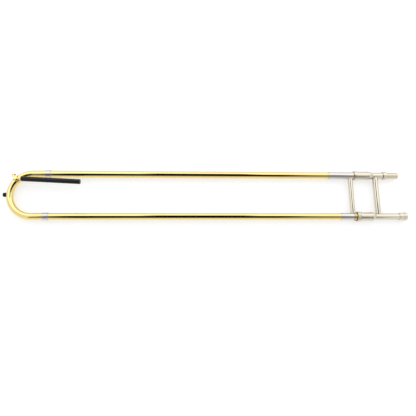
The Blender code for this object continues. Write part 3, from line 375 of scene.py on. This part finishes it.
# Hard chrome, ground and lapped: bluish, the brightest metal here, near-mirror reflections
CHROME = polished_metal("chromed_inner_tube", "E4E6E8", "DADDE0", 0.02, 0.05)
# Drawn spring wire, unpolished: darker blue-grey, its highlight spread by the die's drag
SPRING_STEEL = polished_metal("drawn_spring_steel", "9A9DA1", "85888C", 0.2, 0.32)
# Buffed brass without lacquer, handled daily: a duller gold that has lost its sharpest glints
CATCH_BRASS = polished_metal("polished_catch_brass", "D6BF7E", "C6AE6C", 0.08, 0.14)
# Bare turned brass gone pale and matt with handling: broad highlights broken by rings round the tenon
BARE_BRASS = turned_brass("bare_turned_tenon_brass", "DDD3C0", "CABCA4")
# Moulded rubber: near-black with a wide, dim highlight
RUBBER = moulded_black("moulded_bumper_rubber", "0B0B0C", "141415", 0.42, 0.55, 0.4)
# Vinyl sleeve shrunk on the arm: as black, yet smoother, so one soft bright line runs along it
SLEEVE = moulded_black("black_vinyl_handle_sleeve", "0A0A0D", "131317", 0.26, 0.36, 0.5)
# Cut natural cork: dry, brown and matt, without any highlight
CORK = cut_cork("cut_cork")


# Making pieces

def finished(bm, name, material, body, nodes):
    """Turn a bmesh in the row's frame into a piece that stands for its CAD nodes."""
    bmesh.ops.recalc_face_normals(bm, faces=bm.faces[:])
    mesh = bpy.data.meshes.new(name)
    bm.to_mesh(mesh)
    bm.free()
    mesh.shade_smooth()
    mesh.set_sharp_from_angle(angle=CREASE)
    mesh.materials.append(material)
    piece = bpy.data.objects.new(name, mesh)
    bpy.context.collection.objects.link(piece)
    # Without this the eased ends tilt the normals of the long walls, and a straight tube shines like a barrel
    straight = piece.modifiers.new("straight_walls", "WEIGHTED_NORMAL")
    straight.mode = "FACE_AREA"
    straight.keep_sharp = True
    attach(piece, body)
    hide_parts(*nodes)
    return piece


def edges_at(corners):
    """The edges at these corners, each once, in the mesh's own order."""
    return list(dict.fromkeys(edge for corner in corners for edge in corner.link_edges))


def faces_at(corners):
    """The faces at these corners, each once, in the mesh's own order."""
    return list(dict.fromkeys(face for corner in corners for face in corner.link_faces))


def new_corners(bm, before):
    """The corners made since the set before was taken, in the mesh's own order."""
    return [corner for corner in bm.verts if corner not in before]


def ease_edges(bm, edges, width):
    """Round off the sharp edges among these by a width in mm."""
    bm.normal_update()
    sharp = [edge for edge in edges if edge.is_manifold and edge.calc_face_angle() > CREASE]
    if sharp:
        bmesh.ops.bevel(bm, geom=sharp, offset=width * MM, offset_type="OFFSET", segments=2, profile=0.5,
                        affect="EDGES", material=-1, clamp_overlap=True)


def turn_closed(bm, profile, matrix, sides=FINE, ease=EASE):
    """Turn a closed profile round the X axis of the matrix, for a piece with a bore."""
    turn_line(bm, profile + profile[:1], matrix, sides, ease)


def turn_line(bm, profile, matrix, sides=FINE, ease=EASE):
    """Turn a line of (distance, radius) in mm round the X axis of the matrix."""
    before = set(bm.verts)
    corners = [bm.verts.new((x * MM, 0, radius * MM)) for x, radius in profile]
    line = [bm.edges.new(pair) for pair in zip(corners, corners[1:])]
    bmesh.ops.spin(bm, geom=corners + line, cent=(0, 0, 0), axis=(1, 0, 0), angle=math.tau, steps=sides,
                   use_merge=True)
    bmesh.ops.remove_doubles(bm, verts=new_corners(bm, before), dist=1e-6)
    made = new_corners(bm, before)
    edges = edges_at(made)
    bmesh.ops.recalc_face_normals(bm, faces=faces_at(made))
    if ease:
        ease_edges(bm, edges, ease)
    bmesh.ops.transform(bm, matrix=matrix, verts=new_corners(bm, before))


def on_leg(x, y):
    return Matrix.Translation((x, y, AXIS_Z))


def turned_piece(node, profile, y, material, body, ease=EASE):
    """A bored round piece on one leg, starting where its CAD node does."""
    bm = bmesh.new()
    turn_closed(bm, profile, on_leg(start_of(node), y), ease=ease)
    return finished(bm, node + "_turned", material, body, [node])


def tube_profile(length, outer, bore):
    return [(0, bore), (0, outer), (length, outer), (length, bore)]


def quarter(centre, radius, start, end, steps=6):
    """Points of a rounded corner, angles in degrees: 0 points to the right, 90 away from the axis."""
    turns = [math.radians(start + (end - start) * i / steps) for i in range(steps + 1)]
    return [(centre[0] + radius * math.cos(t), centre[1] + radius * math.sin(t)) for t in turns]


def edges_in(geometry):
    return [part for part in geometry if isinstance(part, bmesh.types.BMEdge)]


def drawn_along(bm, ring, offset):
    """Extrude a ring of edges by an offset, and give its far edges."""
    made = bmesh.ops.extrude_edge_only(bm, edges=ring)["geom"]
    corners = [part for part in made if isinstance(part, bmesh.types.BMVert)]
    bmesh.ops.translate(bm, vec=offset, verts=corners)
    moved = set(corners)
    return [edge for edge in edges_in(made) if edge.verts[0] in moved and edge.verts[1] in moved]


def bow_solid(bm, radius, leg):
    """A bow about its own centre: a leg, the half circle and the other leg, with both ends closed."""
    before = set(bm.verts)
    across = Matrix.Translation((leg * MM, HALF_SPACING, 0)) @ Matrix.Rotation(math.pi / 2, 4, "Y")
    circle = bmesh.ops.create_circle(bm, cap_ends=False, radius=radius * MM, segments=FINE, matrix=across)
    ring = set(circle["verts"])
    start = [edge for edge in bm.edges if edge.verts[0] in ring and edge.verts[1] in ring]
    last = drawn_along(bm, start, (-leg * MM, 0, 0))
    corners = list(dict.fromkeys(corner for edge in last for corner in edge.verts))
    last = edges_in(bmesh.ops.spin(bm, geom=corners + last, cent=(0, 0, 0), axis=(0, 0, 1), angle=math.pi,
                                   steps=BOW_STEPS)["geom_last"])
    last = drawn_along(bm, last, (leg * MM, 0, 0))
    for end in (start, last):
        bmesh.ops.edgeloop_fill(bm, edges=end)
    bmesh.ops.recalc_face_normals(bm, faces=faces_at(new_corners(bm, before)))


def cut(item, tool, operation):
    """Apply one exact boolean and remove its tool."""
    modifier = item.modifiers.new("cut", "BOOLEAN")
    modifier.operation = operation
    modifier.solver = "EXACT"
    modifier.object = tool
    bpy.context.view_layer.update()
    result = bpy.data.meshes.new_from_object(item.evaluated_get(bpy.context.evaluated_depsgraph_get()))
    item.modifiers.clear()
    item.data = result
    bpy.data.objects.remove(tool, do_unlink=True)


def bmesh_of(item):
    """Take an object's mesh back into a bmesh and remove the object."""
    bm = bmesh.new()
    bm.from_mesh(item.data)
    bpy.data.objects.remove(item, do_unlink=True)
    return bm


def block(bm, low, high, matrix, ease):
    """A plain block in mm between two corners, its edges eased."""
    size = (Vector(high) - Vector(low)) * MM
    centre = (Vector(high) + Vector(low)) / 2 * MM
    made = bmesh.ops.create_cube(bm, size=1, matrix=Matrix.Translation(centre) @ Matrix.Diagonal((*size, 1)))
    corners = made["verts"]
    edges = edges_at(corners)
    before = set(bm.verts) - set(corners)
    if ease:
        ease_edges(bm, edges, ease)
    bmesh.ops.transform(bm, matrix=matrix, verts=new_corners(bm, before))


def round_bar(bm, points, radius, resolution):
    """A round bar or wire in mm along the points, closed at its ends."""
    curve = bpy.data.curves.new("centre_line", "CURVE")
    curve.dimensions = "3D"
    curve.bevel_depth = radius
    curve.bevel_resolution = resolution
    curve.use_fill_caps = True
    spline = curve.splines.new("POLY")
    spline.points.add(len(points) - 1)
    for point, place in zip(spline.points, points):
        point.co = (*place, 1)
    line = bpy.data.objects.new("centre_line", curve)
    bpy.context.collection.objects.link(line)
    bpy.context.view_layer.update()
    made = bmesh.new()
    made.from_mesh(line.evaluated_get(bpy.context.evaluated_depsgraph_get()).to_mesh())
    bpy.data.objects.remove(line, do_unlink=True)
    bmesh.ops.remove_doubles(made, verts=made.verts[:], dist=1e-5)
    mesh = bpy.data.meshes.new("bar")
    made.to_mesh(mesh)
    made.free()
    mesh.transform(Matrix.Diagonal((MM, MM, MM, 1)))
    bm.from_mesh(mesh)
    bpy.data.meshes.remove(mesh)


# Outer slide, in mm

LEGS = (("bell", BELL_Y, BELL_RADIUS), ("mouthpiece", MOUTHPIECE_Y, MOUTHPIECE_RADIUS))
OUTER_LENGTH = 779.2
TUBE_WALL = 0.4             # mm, of the outer and inner tubes
BOW_WALL = 0.5
OUTER_BRACE_RADIUS = 6.0
INNER_BRACE_RADIUS = 7.0
BARREL_POCKET = 0.5         # mm round an outer tube that runs into a barrel
BELL_INNER = 7.85           # mm, outside of the inner tube on the bell leg
MOUTHPIECE_INNER = 7.75


def make_outer_tubes():
    for name, y, radius in LEGS:
        turned_piece("outer_tube_" + name, tube_profile(OUTER_LENGTH, radius, radius - TUBE_WALL), y,
                     LACQUERED_BRASS, "outer_slide")


def make_bow():
    bm = bmesh.new()
    bow_solid(bm, BOW_RADIUS, BOW_LEG)
    item = loose_object(bm, "bow")
    bore = bmesh.new()
    bow_solid(bore, BOW_RADIUS - BOW_WALL, 2 * BOW_LEG)
    cut(item, loose_object(bore, "bore"), "DIFFERENCE")
    bm = bmesh_of(item)
    bmesh.ops.transform(bm, matrix=Matrix.Translation(BOW_CENTRE), verts=bm.verts[:])
    finished(bm, "bow_bent", LACQUERED_BRASS, "outer_slide", ["slide_bow"])


def make_ferrules():
    """Short sleeves over the bow's two joints, a fine bead turned at each end."""
    for name, y, radius in LEGS:
        bore = max(radius, BOW_RADIUS) + SEAT_GAP
        outer = bore + 0.6
        line = [(0, bore), (0, outer - 0.3), (0.3, outer), (1.5, outer), (1.7, outer - 0.15), (1.9, outer),
                (11.6, outer), (11.8, outer - 0.15), (12.0, outer), (13.2, outer), (13.5, outer - 0.3),
                (13.5, bore)]
        turned_piece("bow_ferrule_" + name, line, y, NICKEL_PLATE, "outer_slide", 0.05)


def make_grip_sleeves():
    """Plain sleeves that stand 0.65 mm over the outer tubes."""
    for (name, y, radius), length in zip(LEGS, (64.4, 32.2)):
        turned_piece("grip_sleeve_" + name, tube_profile(length, radius + 0.65, radius + SEAT_GAP), y,
                     NICKEL_PLATE, "outer_slide", 0.1)


def make_catch_ring():
    """Brass ring on the mouthpiece leg, hollowed round the brace's foot, with the slide lock's hooked lug."""
    bm = bmesh.new()
    start = on_leg(start_of("catch_ring"), MOUTHPIECE_Y)
    bore = MOUTHPIECE_RADIUS + SEAT_GAP
    turn_closed(bm, tube_profile(6.6, bore + 0.75, bore), start)
    item = loose_object(bm, "catch_ring_blank")
    tool = bmesh.new()
    foot = OUTER_BRACE_RADIUS + SEAT_GAP
    turn_line(tool, [(0, 0), (0, foot), (HALF_SPACING / MM, foot), (HALF_SPACING / MM, 0)],
              start @ Matrix.Translation((-0.4 * MM, 0, 0)) @ Matrix.Rotation(math.pi / 2, 4, "Z"), ease=0)
    cut(item, loose_object(tool, "brace_foot"), "DIFFERENCE")
    bm = bmesh_of(item)
    # The lug lies on the side away from the bell leg. In turn: its tongue, its foot on the ring, its hook
    for left, right, out, inwards in ((1.65, 11.5, -10.6, -10.0), (1.65, 6.3, -10.3, -9.2),
                                      (10.2, 12.6, -11.5, -10.0)):
        block(bm, (left, out, -1.6), (right, inwards, 1.6), start, 0.1)
    finished(bm, "catch_ring_and_lug", CATCH_BRASS, "outer_slide", ["catch_ring"])


def make_brace(node, radius, seats, body):
    """Brace between the legs, hollowed at both ends to the seats' radii to lie on what it joins."""
    bm = bmesh.new()
    x = centre_of(node).x
    across = on_leg(x, BOW_CENTRE.y) @ Matrix.Rotation(math.pi / 2, 4, "Z")
    half = HALF_SPACING / MM
    turn_line(bm, [(-half, 0), (-half, radius), (half, radius), (half, 0)], across, ease=0)
    item = loose_object(bm, node + "_bar")
    reach = radius + 4
    for y, seat in zip((BELL_Y, MOUTHPIECE_Y), seats):
        tool = bmesh.new()
        turn_line(tool, [(-reach, 0), (-reach, seat), (reach, seat), (reach, 0)], on_leg(x, y), ease=0)
        cut(item, loose_object(tool, "seat"), "DIFFERENCE")
    bm = bmesh_of(item)
    finished(bm, node + "_seated", NICKEL_SILVER, body, [node])


def bow_space():
    """The room that the bow takes, with the seat gap round it."""
    bm = bmesh.new()
    bow_solid(bm, BOW_RADIUS + SEAT_GAP, BOW_LEG)
    bmesh.ops.transform(bm, matrix=Matrix.Translation(BOW_CENTRE), verts=bm.verts[:])
    return loose_object(bm, "bow_space")


def make_bumper():
    """Rubber bumper on a peg in the bow: a domed tip, and behind it a moulded groove."""
    crown = Matrix.Translation((start_of("slide_bow"), BOW_CENTRE.y, AXIS_Z))
    bm = bmesh.new()
    line = [(-7.7, 0), *quarter((-4.9, 2.4), 2.8, 180, 90), (-2.2, 5.2), (-1.9, 4.9), (-1.5, 4.9),
            (-1.2, 5.2), (1.6, 5.2), (1.6, 2.0), (-4.9, 2.0), (-4.9, 0)]
    turn_line(bm, line, crown, SMALL)
    item = loose_object(bm, "bumper")
    cut(item, bow_space(), "DIFFERENCE")
    finished(bmesh_of(item), "bumper_moulded", RUBBER, "outer_slide", ["bumper"])
    bm = bmesh.new()
    turn_line(bm, [(-4.6, 0), (-4.6, 1.7), (1.6, 1.7), (1.6, 0)], crown, SMALL)
    item = loose_object(bm, "stud")
    cut(item, bow_space(), "DIFFERENCE")
    finished(bmesh_of(item), "bumper_stud_fitted", LACQUERED_BRASS, "outer_slide",
             ["bumper_stud"])


# Inner slide and slide lock, in mm

def length_of(node):
    """Length of a CAD node along X, in mm."""
    low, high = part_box(node)
    return (high.x - low.x) / MM


def make_inner_tubes():
    """Chromed inner tubes. The 75 mm nearest the bow, the stocking, is 0.1 mm larger in radius."""
    for name, y, bore in (("bell", BELL_Y, 7.45), ("mouthpiece", MOUTHPIECE_Y, 7.35)):
        node = "inner_tube_" + name
        length = length_of(node)
        radius = bore + TUBE_WALL
        line = [(0, bore), (0, radius + 0.1), (75, radius + 0.1), (75.6, radius), (length, radius),
                (length, bore)]
        turned_piece(node, line, y, CHROME, "inner_slide", 0.05)


def barrel_line(front, tube):
    """Outline of a cork barrel from its front line on: body, raised band with a groove, taper to the tube."""
    band = [(32.3, 10.7), (32.8, 11.2), (35.4, 11.2), (35.65, 11.0), (35.95, 11.0), (36.2, 11.2),
            (38.8, 11.2), (39.3, 10.7), (40.8, 10.7)]
    end = tube + SEAT_GAP
    sweep = [(41.9, 10.55), (43.6, 10.1), (45.6, 9.4), (47.3, end + 0.6)]
    return front + band + sweep + [(47.3, end), (30, end)]


def make_barrels():
    """Barrels that the outer tubes run into, and the corks inside them."""
    pocket = BELL_RADIUS + BARREL_POCKET
    front = [(0, 11.2), *quarter((1.2, 11.2), 1.2, 180, 90, 4), (6.6, 12.4), (7.5, 11.6), (7.5, 10.7)]
    line = [(30, pocket), (0, pocket)] + barrel_line(front, BELL_INNER)
    turned_piece("cork_barrel_bell", line, BELL_Y, NICKEL_SILVER, "inner_slide", 0.06)
    pocket = MOUTHPIECE_RADIUS + BARREL_POCKET
    neck = pocket + 0.55
    front = [(0, neck), (4.9, neck), (4.9, neck + 0.65), (5.3, neck + 0.65), (5.3, neck), (8.1, neck),
             (8.1, 11.5), (8.3, 11.7), (12.4, 11.7), (12.6, 11.5), (12.6, 10.7)]
    line = [(30, pocket), (0, pocket)] + barrel_line(front, MOUTHPIECE_INNER)
    turned_piece("cork_barrel_mouthpiece", line, MOUTHPIECE_Y, NICKEL_SILVER, "inner_slide",
                 0.06)
    for (name, y, radius), inner in zip(LEGS, (BELL_INNER, MOUTHPIECE_INNER)):
        node = "cork_" + name
        line = tube_profile(length_of(node), radius + BARREL_POCKET - SEAT_GAP, inner + SEAT_GAP)
        turned_piece(node, line, y, CORK, "inner_slide", 0)


def make_bell_end():
    turned_piece("neck_tube", tube_profile(27.8, 8.45, 8.15), BELL_Y, NICKEL_SILVER, "inner_slide",
                 0.08)
    line = [(0, 8.6), *quarter((1.0, 9.7), 1.0, 180, 90), (2.6, 10.7), (2.9, 10.45), (3.3, 10.45),
            (3.6, 10.7), (7.6, 10.7), (7.6, 8.6)]
    turned_piece("tenon_collar", line, BELL_Y, NICKEL_SILVER, "inner_slide", 0.08)
    line = [(0, 7.45), (0, 8.3), (7.6, 8.3), (38.7, 7.9), (38.9, 7.7), (38.9, 7.45)]
    turned_piece("bell_tenon", line, BELL_Y, BARE_BRASS, "inner_slide", 0.05)


def make_mouthpiece_end():
    line = [(0, 8.05), (0, 8.35), (80.2, 8.35), (80.2, 6.5), (39.7, 5.9), (39.7, 8.05)]
    turned_piece("receiver_tube", line, MOUTHPIECE_Y, NICKEL_SILVER, "inner_slide", 0.15)
    line = [(0, 8.65), (0, 9.15), (0.5, 9.65), (2.2, 9.65), (2.4, 9.45), (2.7, 9.45), (2.9, 9.65),
            *quarter((12.55, 9.65), 0.95, 180, 90), *quarter((18.6, 9.4), 1.2, 90, 0), (19.8, 8.65)]
    turned_piece("receiver_bead", line, MOUTHPIECE_Y, NICKEL_SILVER, "inner_slide", 0.06)
    line = [(0, 6.7), (0, 7.05), (190, 7.05), (190, 5.9), (140, 5.3)]
    turned_piece("leadpipe", line, MOUTHPIECE_Y, BARE_BRASS, "inner_slide", 0.05)


KNURL_SIDES = 144
KNURL_EVERY = 3             # each third column of corners is pushed in
KNURL_DEPTH = 0.22
KNURL_FROM = 12.55          # radius from which corners belong to the knurled band


def make_lock_ring():
    """Slide lock: a ring with straight knurling, cut away inside its front wall for the lug."""
    bm = bmesh.new()
    place = on_leg(start_of("slide_lock_ring"), MOUTHPIECE_Y)
    line = [(0, 11.0), (0, 12.0), (0.6, 12.6), (7.2, 12.6), (7.8, 12.0), (7.8, 9.9), (5.6, 9.9), (5.6, 11.9),
            (1.7, 11.9), (1.7, 11.0)]
    turn_closed(bm, line, place, sides=KNURL_SIDES, ease=0)
    item = loose_object(bm, "lock_ring_blank")
    tool = bmesh.new()
    block(tool, (-1.7, -11.9, -2.0), (2.1, -10.0, 2.0), place, 0)
    cut(item, loose_object(tool, "notch"), "DIFFERENCE")
    bm = bmesh_of(item)
    centre = Vector((0, MOUTHPIECE_Y, AXIS_Z))
    step = math.tau / KNURL_SIDES
    for corner in bm.verts:
        out = Vector((0, corner.co.y, corner.co.z)) - centre
        column = round(math.atan2(out.y, out.z) / step)
        if out.length > KNURL_FROM * MM and column % KNURL_EVERY == 0:
            corner.co -= out.normalized() * KNURL_DEPTH * MM
    finished(bm, "slide_lock_ring_knurled", NICKEL_SILVER, "lock_ring", ["slide_lock_ring"])


# Water key, in mm in the seat's frame: X along the bow's tube, Y outwards from the bow, Z up

SPRING_PITCH = 1.2
SPRING_TURNS = 3.5
SPRING_HALF = SPRING_PITCH * SPRING_TURNS / 2
WIRE_RADIUS = 0.35
PIN_RADIUS = 0.9
HINGE_TUBE_WALL = 0.6
CHEEK = 1.4                     # thickness of the lever's cheeks, which the spring lies between
HINGE_HALF = SPRING_HALF + WIRE_RADIUS + SEAT_GAP + CHEEK
# Distances outwards from the centre line of the bow's tube
SPOUT_TOP = BOW_RADIUS + SEAT_GAP + 4.4
CORK_FACE = SPOUT_TOP + SEAT_GAP
CORK_THICKNESS = 2.1
CUP_BACK = CORK_FACE + CORK_THICKNESS + SEAT_GAP
CUP_OUTER = CUP_BACK + 1.3
KEY_OUTWARDS = KEY_SEAT @ Matrix.Rotation(math.pi / 2, 4, "Z")


def make_spout():
    """Drain spout with the oval plate that is soldered round its foot."""
    bm = bmesh.new()
    bow_solid(bm, BOW_RADIUS + SEAT_GAP + 0.9, BOW_LEG)
    bmesh.ops.transform(bm, matrix=Matrix.Translation(BOW_CENTRE), verts=bm.verts[:])
    item = loose_object(bm, "plate")
    oval = bmesh.new()
    turn_line(oval, [(4, 0), (4, 5.5), (SPOUT_TOP, 5.5), (SPOUT_TOP, 0)], Matrix.Identity(4), ease=0)
    bmesh.ops.transform(oval, matrix=KEY_OUTWARDS @ Matrix.Diagonal((1, 18 / 11, 1, 1)), verts=oval.verts[:])
    cut(item, loose_object(oval, "oval"), "INTERSECT")
    cut(item, bow_space(), "DIFFERENCE")
    bm = bmesh_of(item)
    foot = BOW_RADIUS + 0.6
    line = [(foot, 2.2), (foot, 5.0), (foot + 0.5, 4.3), (foot + 1.0, 4.0), (SPOUT_TOP - 0.5, 4.0),
            (SPOUT_TOP, 3.5), (SPOUT_TOP, 2.2)]
    turn_closed(bm, line, KEY_OUTWARDS, SMALL, 0.05)
    finished(bm, "water_spout_soldered", LACQUERED_BRASS, "outer_slide", ["water_spout"])


def make_saddle():
    """Saddle on the bow: a base block and two ears whose tops are rounded about the pin."""
    bm = bmesh.new()
    reach = HINGE_HALF + 1.2
    block(bm, (-reach - 0.3, -4.5, 5.4), (reach + 0.3, 4.5, BOW_RADIUS + SEAT_GAP + 1.0), KEY_SEAT, 0.25)
    for side in (-1, 1):
        near, far = sorted((side * HINGE_HALF, side * reach))
        before = set(bm.verts)
        outline = [(-2.8, 6.5), (2.8, 6.5)] + quarter((0, PIN_HEIGHT), 2.8, 0, 180, 16)
        face = bm.faces.new([bm.verts.new((near * MM, y * MM, z * MM)) for y, z in outline])
        made = bmesh.ops.extrude_face_region(bm, geom=[face])["geom"]
        corners = [part for part in made if isinstance(part, bmesh.types.BMVert)]
        bmesh.ops.translate(bm, vec=((far - near) * MM, 0, 0), verts=corners)
        ear = new_corners(bm, before)
        bmesh.ops.recalc_face_normals(bm, faces=faces_at(ear))
        ease_edges(bm, edges_at(ear), 0.15)
        bmesh.ops.transform(bm, matrix=KEY_SEAT, verts=new_corners(bm, before))
    finished(bm, "water_key_saddle_filed", LACQUERED_BRASS, "outer_slide",
             ["water_key_saddle"])


def make_pin():
    """Steel hinge pin with two domed heads."""
    reach = HINGE_HALF + 1.5
    bm = bmesh.new()
    line = [(-reach - 0.8, 0), *quarter((-reach - 0.3, 1.1), 0.5, 180, 90, 4), (-reach, 1.6),
            (-reach, PIN_RADIUS), (reach, PIN_RADIUS), (reach, 1.6),
            *quarter((reach + 0.3, 1.1), 0.5, 90, 0, 4), (reach + 0.8, 0)]
    turn_line(bm, line, KEY_PIN, SMALL, 0.05)
    finished(bm, "water_key_pin_turned", SPRING_STEEL, "outer_slide", ["water_key_pin"])


def make_spring():
    """Torsion spring round the hinge tube: 3.5 turns of 0.7 mm wire, both tails running inwards."""
    radius = PIN_RADIUS + SEAT_GAP + HINGE_TUBE_WALL + SEAT_GAP + WIRE_RADIUS
    count = 84
    coil = []
    for step in range(count + 1):
        share = step / count
        angle = math.pi / 2 - math.tau * SPRING_TURNS * share
        coil.append(Vector((
            SPRING_HALF * (2 * share - 1), radius * math.cos(angle), radius * math.sin(angle))))
    tail = Vector((0, -3.0, -0.35))
    bm = bmesh.new()
    round_bar(bm, [coil[0] + tail, *coil, coil[-1] + tail], WIRE_RADIUS, 3)
    bmesh.ops.transform(bm, matrix=KEY_PIN, verts=bm.verts[:])
    finished(bm, "water_key_spring_wound", SPRING_STEEL, "outer_slide", ["water_key_spring"])


PLATE_MIDDLE = 3.4 + 0.8        # over the pin: the middle of the lever's plate, strap and arm
ARM_TURN = KEY_ANGLE + math.radians(-11.0)
HANDLE_TURN = KEY_ANGLE + math.radians(-2.8)
HANDLE_START = 11.7             # from the pin
ARM_RADIUS = 2.2
CAP_LENGTH = 3.2
SLEEVE_LENGTH = 139.7           # of black sleeve on the arm
SLEEVE_TIP = 3.0                # of it that is solid, beyond the arm's end
STRAP_HALF = (2.3, 0.9)         # half the strap's width and half its thickness
STRAP_END = 2.6                 # below the bow's centre line


def key_arm_line():
    """Start of the handle and its direction, in mm about the pin."""
    start = Vector((math.sin(ARM_TURN), -math.cos(ARM_TURN), 0)) * HANDLE_START + Vector((0, 0, PLATE_MIDDLE))
    return start, Vector((math.sin(HANDLE_TURN), -math.cos(HANDLE_TURN), 0))


def make_lever():
    """Water key lever: hinge tube and cheeks, plate, arched strap, cork cup and the long round arm."""
    bm = bmesh.new()
    hinge = HINGE_HALF - SEAT_GAP
    cheek = hinge - CHEEK
    line = [(-hinge, 1.2), (-hinge, 3.5), (-cheek, 3.5), (-cheek, 1.8), (cheek, 1.8), (cheek, 3.5),
            (hinge, 3.5), (hinge, 1.2)]
    turn_closed(bm, line, KEY_PIN, SMALL, 0.1)
    for side in (-1, 1):
        near, far = sorted((side * (cheek + 0.2), side * (hinge - 0.1)))
        block(bm, (near, -2.8, 2.1), (far, 2.8, PLATE_MIDDLE), KEY_PIN, 0)
    block(bm, (-hinge + 0.2, -3.5, 3.4), (hinge - 0.2, 3.5, 5.0), KEY_PIN, 0.25)
    make_strap(bm)
    make_cup(bm)
    start, direction = key_arm_line()
    end = start + direction * (CAP_LENGTH + SEAT_GAP + SLEEVE_LENGTH - SLEEVE_TIP - SEAT_GAP)
    lift = Vector((0, 0, PLATE_MIDDLE))
    root = lift + (start - lift).normalized() * 5.5
    before = set(bm.verts)
    round_bar(bm, [root, start, end], ARM_RADIUS, 8)
    bmesh.ops.transform(bm, matrix=KEY_PIN, verts=new_corners(bm, before))
    tongue_turn = Matrix.Rotation(ARM_TURN - math.pi / 2, 4, "Z")
    block(bm, (0, -1.75, PLATE_MIDDLE - 0.65), (7.7, 1.75, PLATE_MIDDLE + 0.65), KEY_PIN @ tongue_turn, 0.2)
    finished(bm, "water_key_lever_forged", LACQUERED_BRASS, "water_key",
             ["water_key_lever"])


def make_strap(bm):
    """Flat strap that arches from the plate over the tube and down the cup's back."""
    start = 1.75
    reach = CUP_OUTER + 0.6 - start
    before = set(bm.verts)
    wide, thick = STRAP_HALF
    corners = [bm.verts.new((x * MM, start * MM, (PLATE_MIDDLE + z) * MM))
               for x, z in ((-wide, -thick), (wide, -thick), (wide, thick), (-wide, thick))]
    ring = [bm.edges.new(pair) for pair in zip(corners, corners[1:] + corners[:1])]
    last = edges_in(bmesh.ops.spin(
        bm, geom=corners + ring, cent=(0, start * MM, (PLATE_MIDDLE - reach) * MM), axis=(1, 0, 0),
        angle=-math.pi / 2, steps=24)["geom_last"])
    last = drawn_along(bm, last, (0, 0, (-PIN_HEIGHT - STRAP_END - (PLATE_MIDDLE - reach)) * MM))
    for end in (ring, last):
        bmesh.ops.edgeloop_fill(bm, edges=end)
    strap = new_corners(bm, before)
    bmesh.ops.recalc_face_normals(bm, faces=faces_at(strap))
    ease_edges(bm, edges_at(strap), 0.3)
    bmesh.ops.transform(bm, matrix=KEY_PIN, verts=new_corners(bm, before))


def make_cup(bm):
    """Shallow cup with a rounded back, which holds the cork over the spout."""
    rim = CORK_FACE + 1.0
    line = [(CUP_BACK, 0), (CUP_BACK, 4.5), (rim, 4.5), (rim, 5.2),
            *quarter((CUP_OUTER - 0.7, 4.5), 0.7, 90, 0), (CUP_OUTER, 0)]
    turn_line(bm, line, KEY_OUTWARDS, SMALL, 0.08)


def make_key_cork():
    back = CORK_FACE + CORK_THICKNESS
    bm = bmesh.new()
    turn_line(bm, [(CORK_FACE, 0), (CORK_FACE, 4.2), (back, 4.2), (back, 0)], KEY_OUTWARDS, SMALL, 0.2)
    finished(bm, "water_key_cork_disc", CORK, "water_key", ["water_key_cork"])


def make_handle():
    """Black sleeve over the arm, and the brass end cap where the arm comes out of it."""
    start, direction = key_arm_line()
    turn = direction.to_track_quat("X", "Z").to_matrix().to_4x4()
    cap = KEY_PIN @ Matrix.Translation(start * MM) @ turn
    bm = bmesh.new()
    bore = ARM_RADIUS + SEAT_GAP
    line = [(0, bore), *quarter((1.1, 4.5), 1.1, 180, 90), (CAP_LENGTH, 5.6), (CAP_LENGTH, bore)]
    turn_closed(bm, line, cap, SMALL, 0.08)
    finished(bm, "handle_end_cap_turned", LACQUERED_BRASS, "water_key", ["handle_end_cap"])
    sleeve = KEY_PIN @ Matrix.Translation((start + direction * (CAP_LENGTH + SEAT_GAP)) * MM) @ turn
    solid = SLEEVE_LENGTH - SLEEVE_TIP
    bm = bmesh.new()
    line = [(solid, 0), (solid, bore), (0, bore), *quarter((1.0, 5.0), 1.0, 180, 90),
            *quarter((SLEEVE_LENGTH - 1, 5.0), 1.0, 90, 0), (SLEEVE_LENGTH, 0)]
    turn_line(bm, line, sleeve, 64, 0.08)
    finished(bm, "water_key_handle_sleeve", SLEEVE, "water_key", ["water_key_handle"])


def main():
    set_camera()
    make_light_tent()
    make_dark_gap()
    make_floor()
    make_outer_tubes()
    make_bow()
    make_ferrules()
    make_grip_sleeves()
    make_catch_ring()
    make_brace("outer_brace", OUTER_BRACE_RADIUS, (9.6, 9.5), "outer_slide")
    make_bumper()
    make_inner_tubes()
    make_barrels()
    make_brace("inner_brace", INNER_BRACE_RADIUS, (8.75, 8.65), "inner_slide")
    make_bell_end()
    make_mouthpiece_end()
    make_lock_ring()
    make_spout()
    make_saddle()
    make_pin()
    make_spring()
    make_lever()
    make_key_cork()
    make_handle()


main()
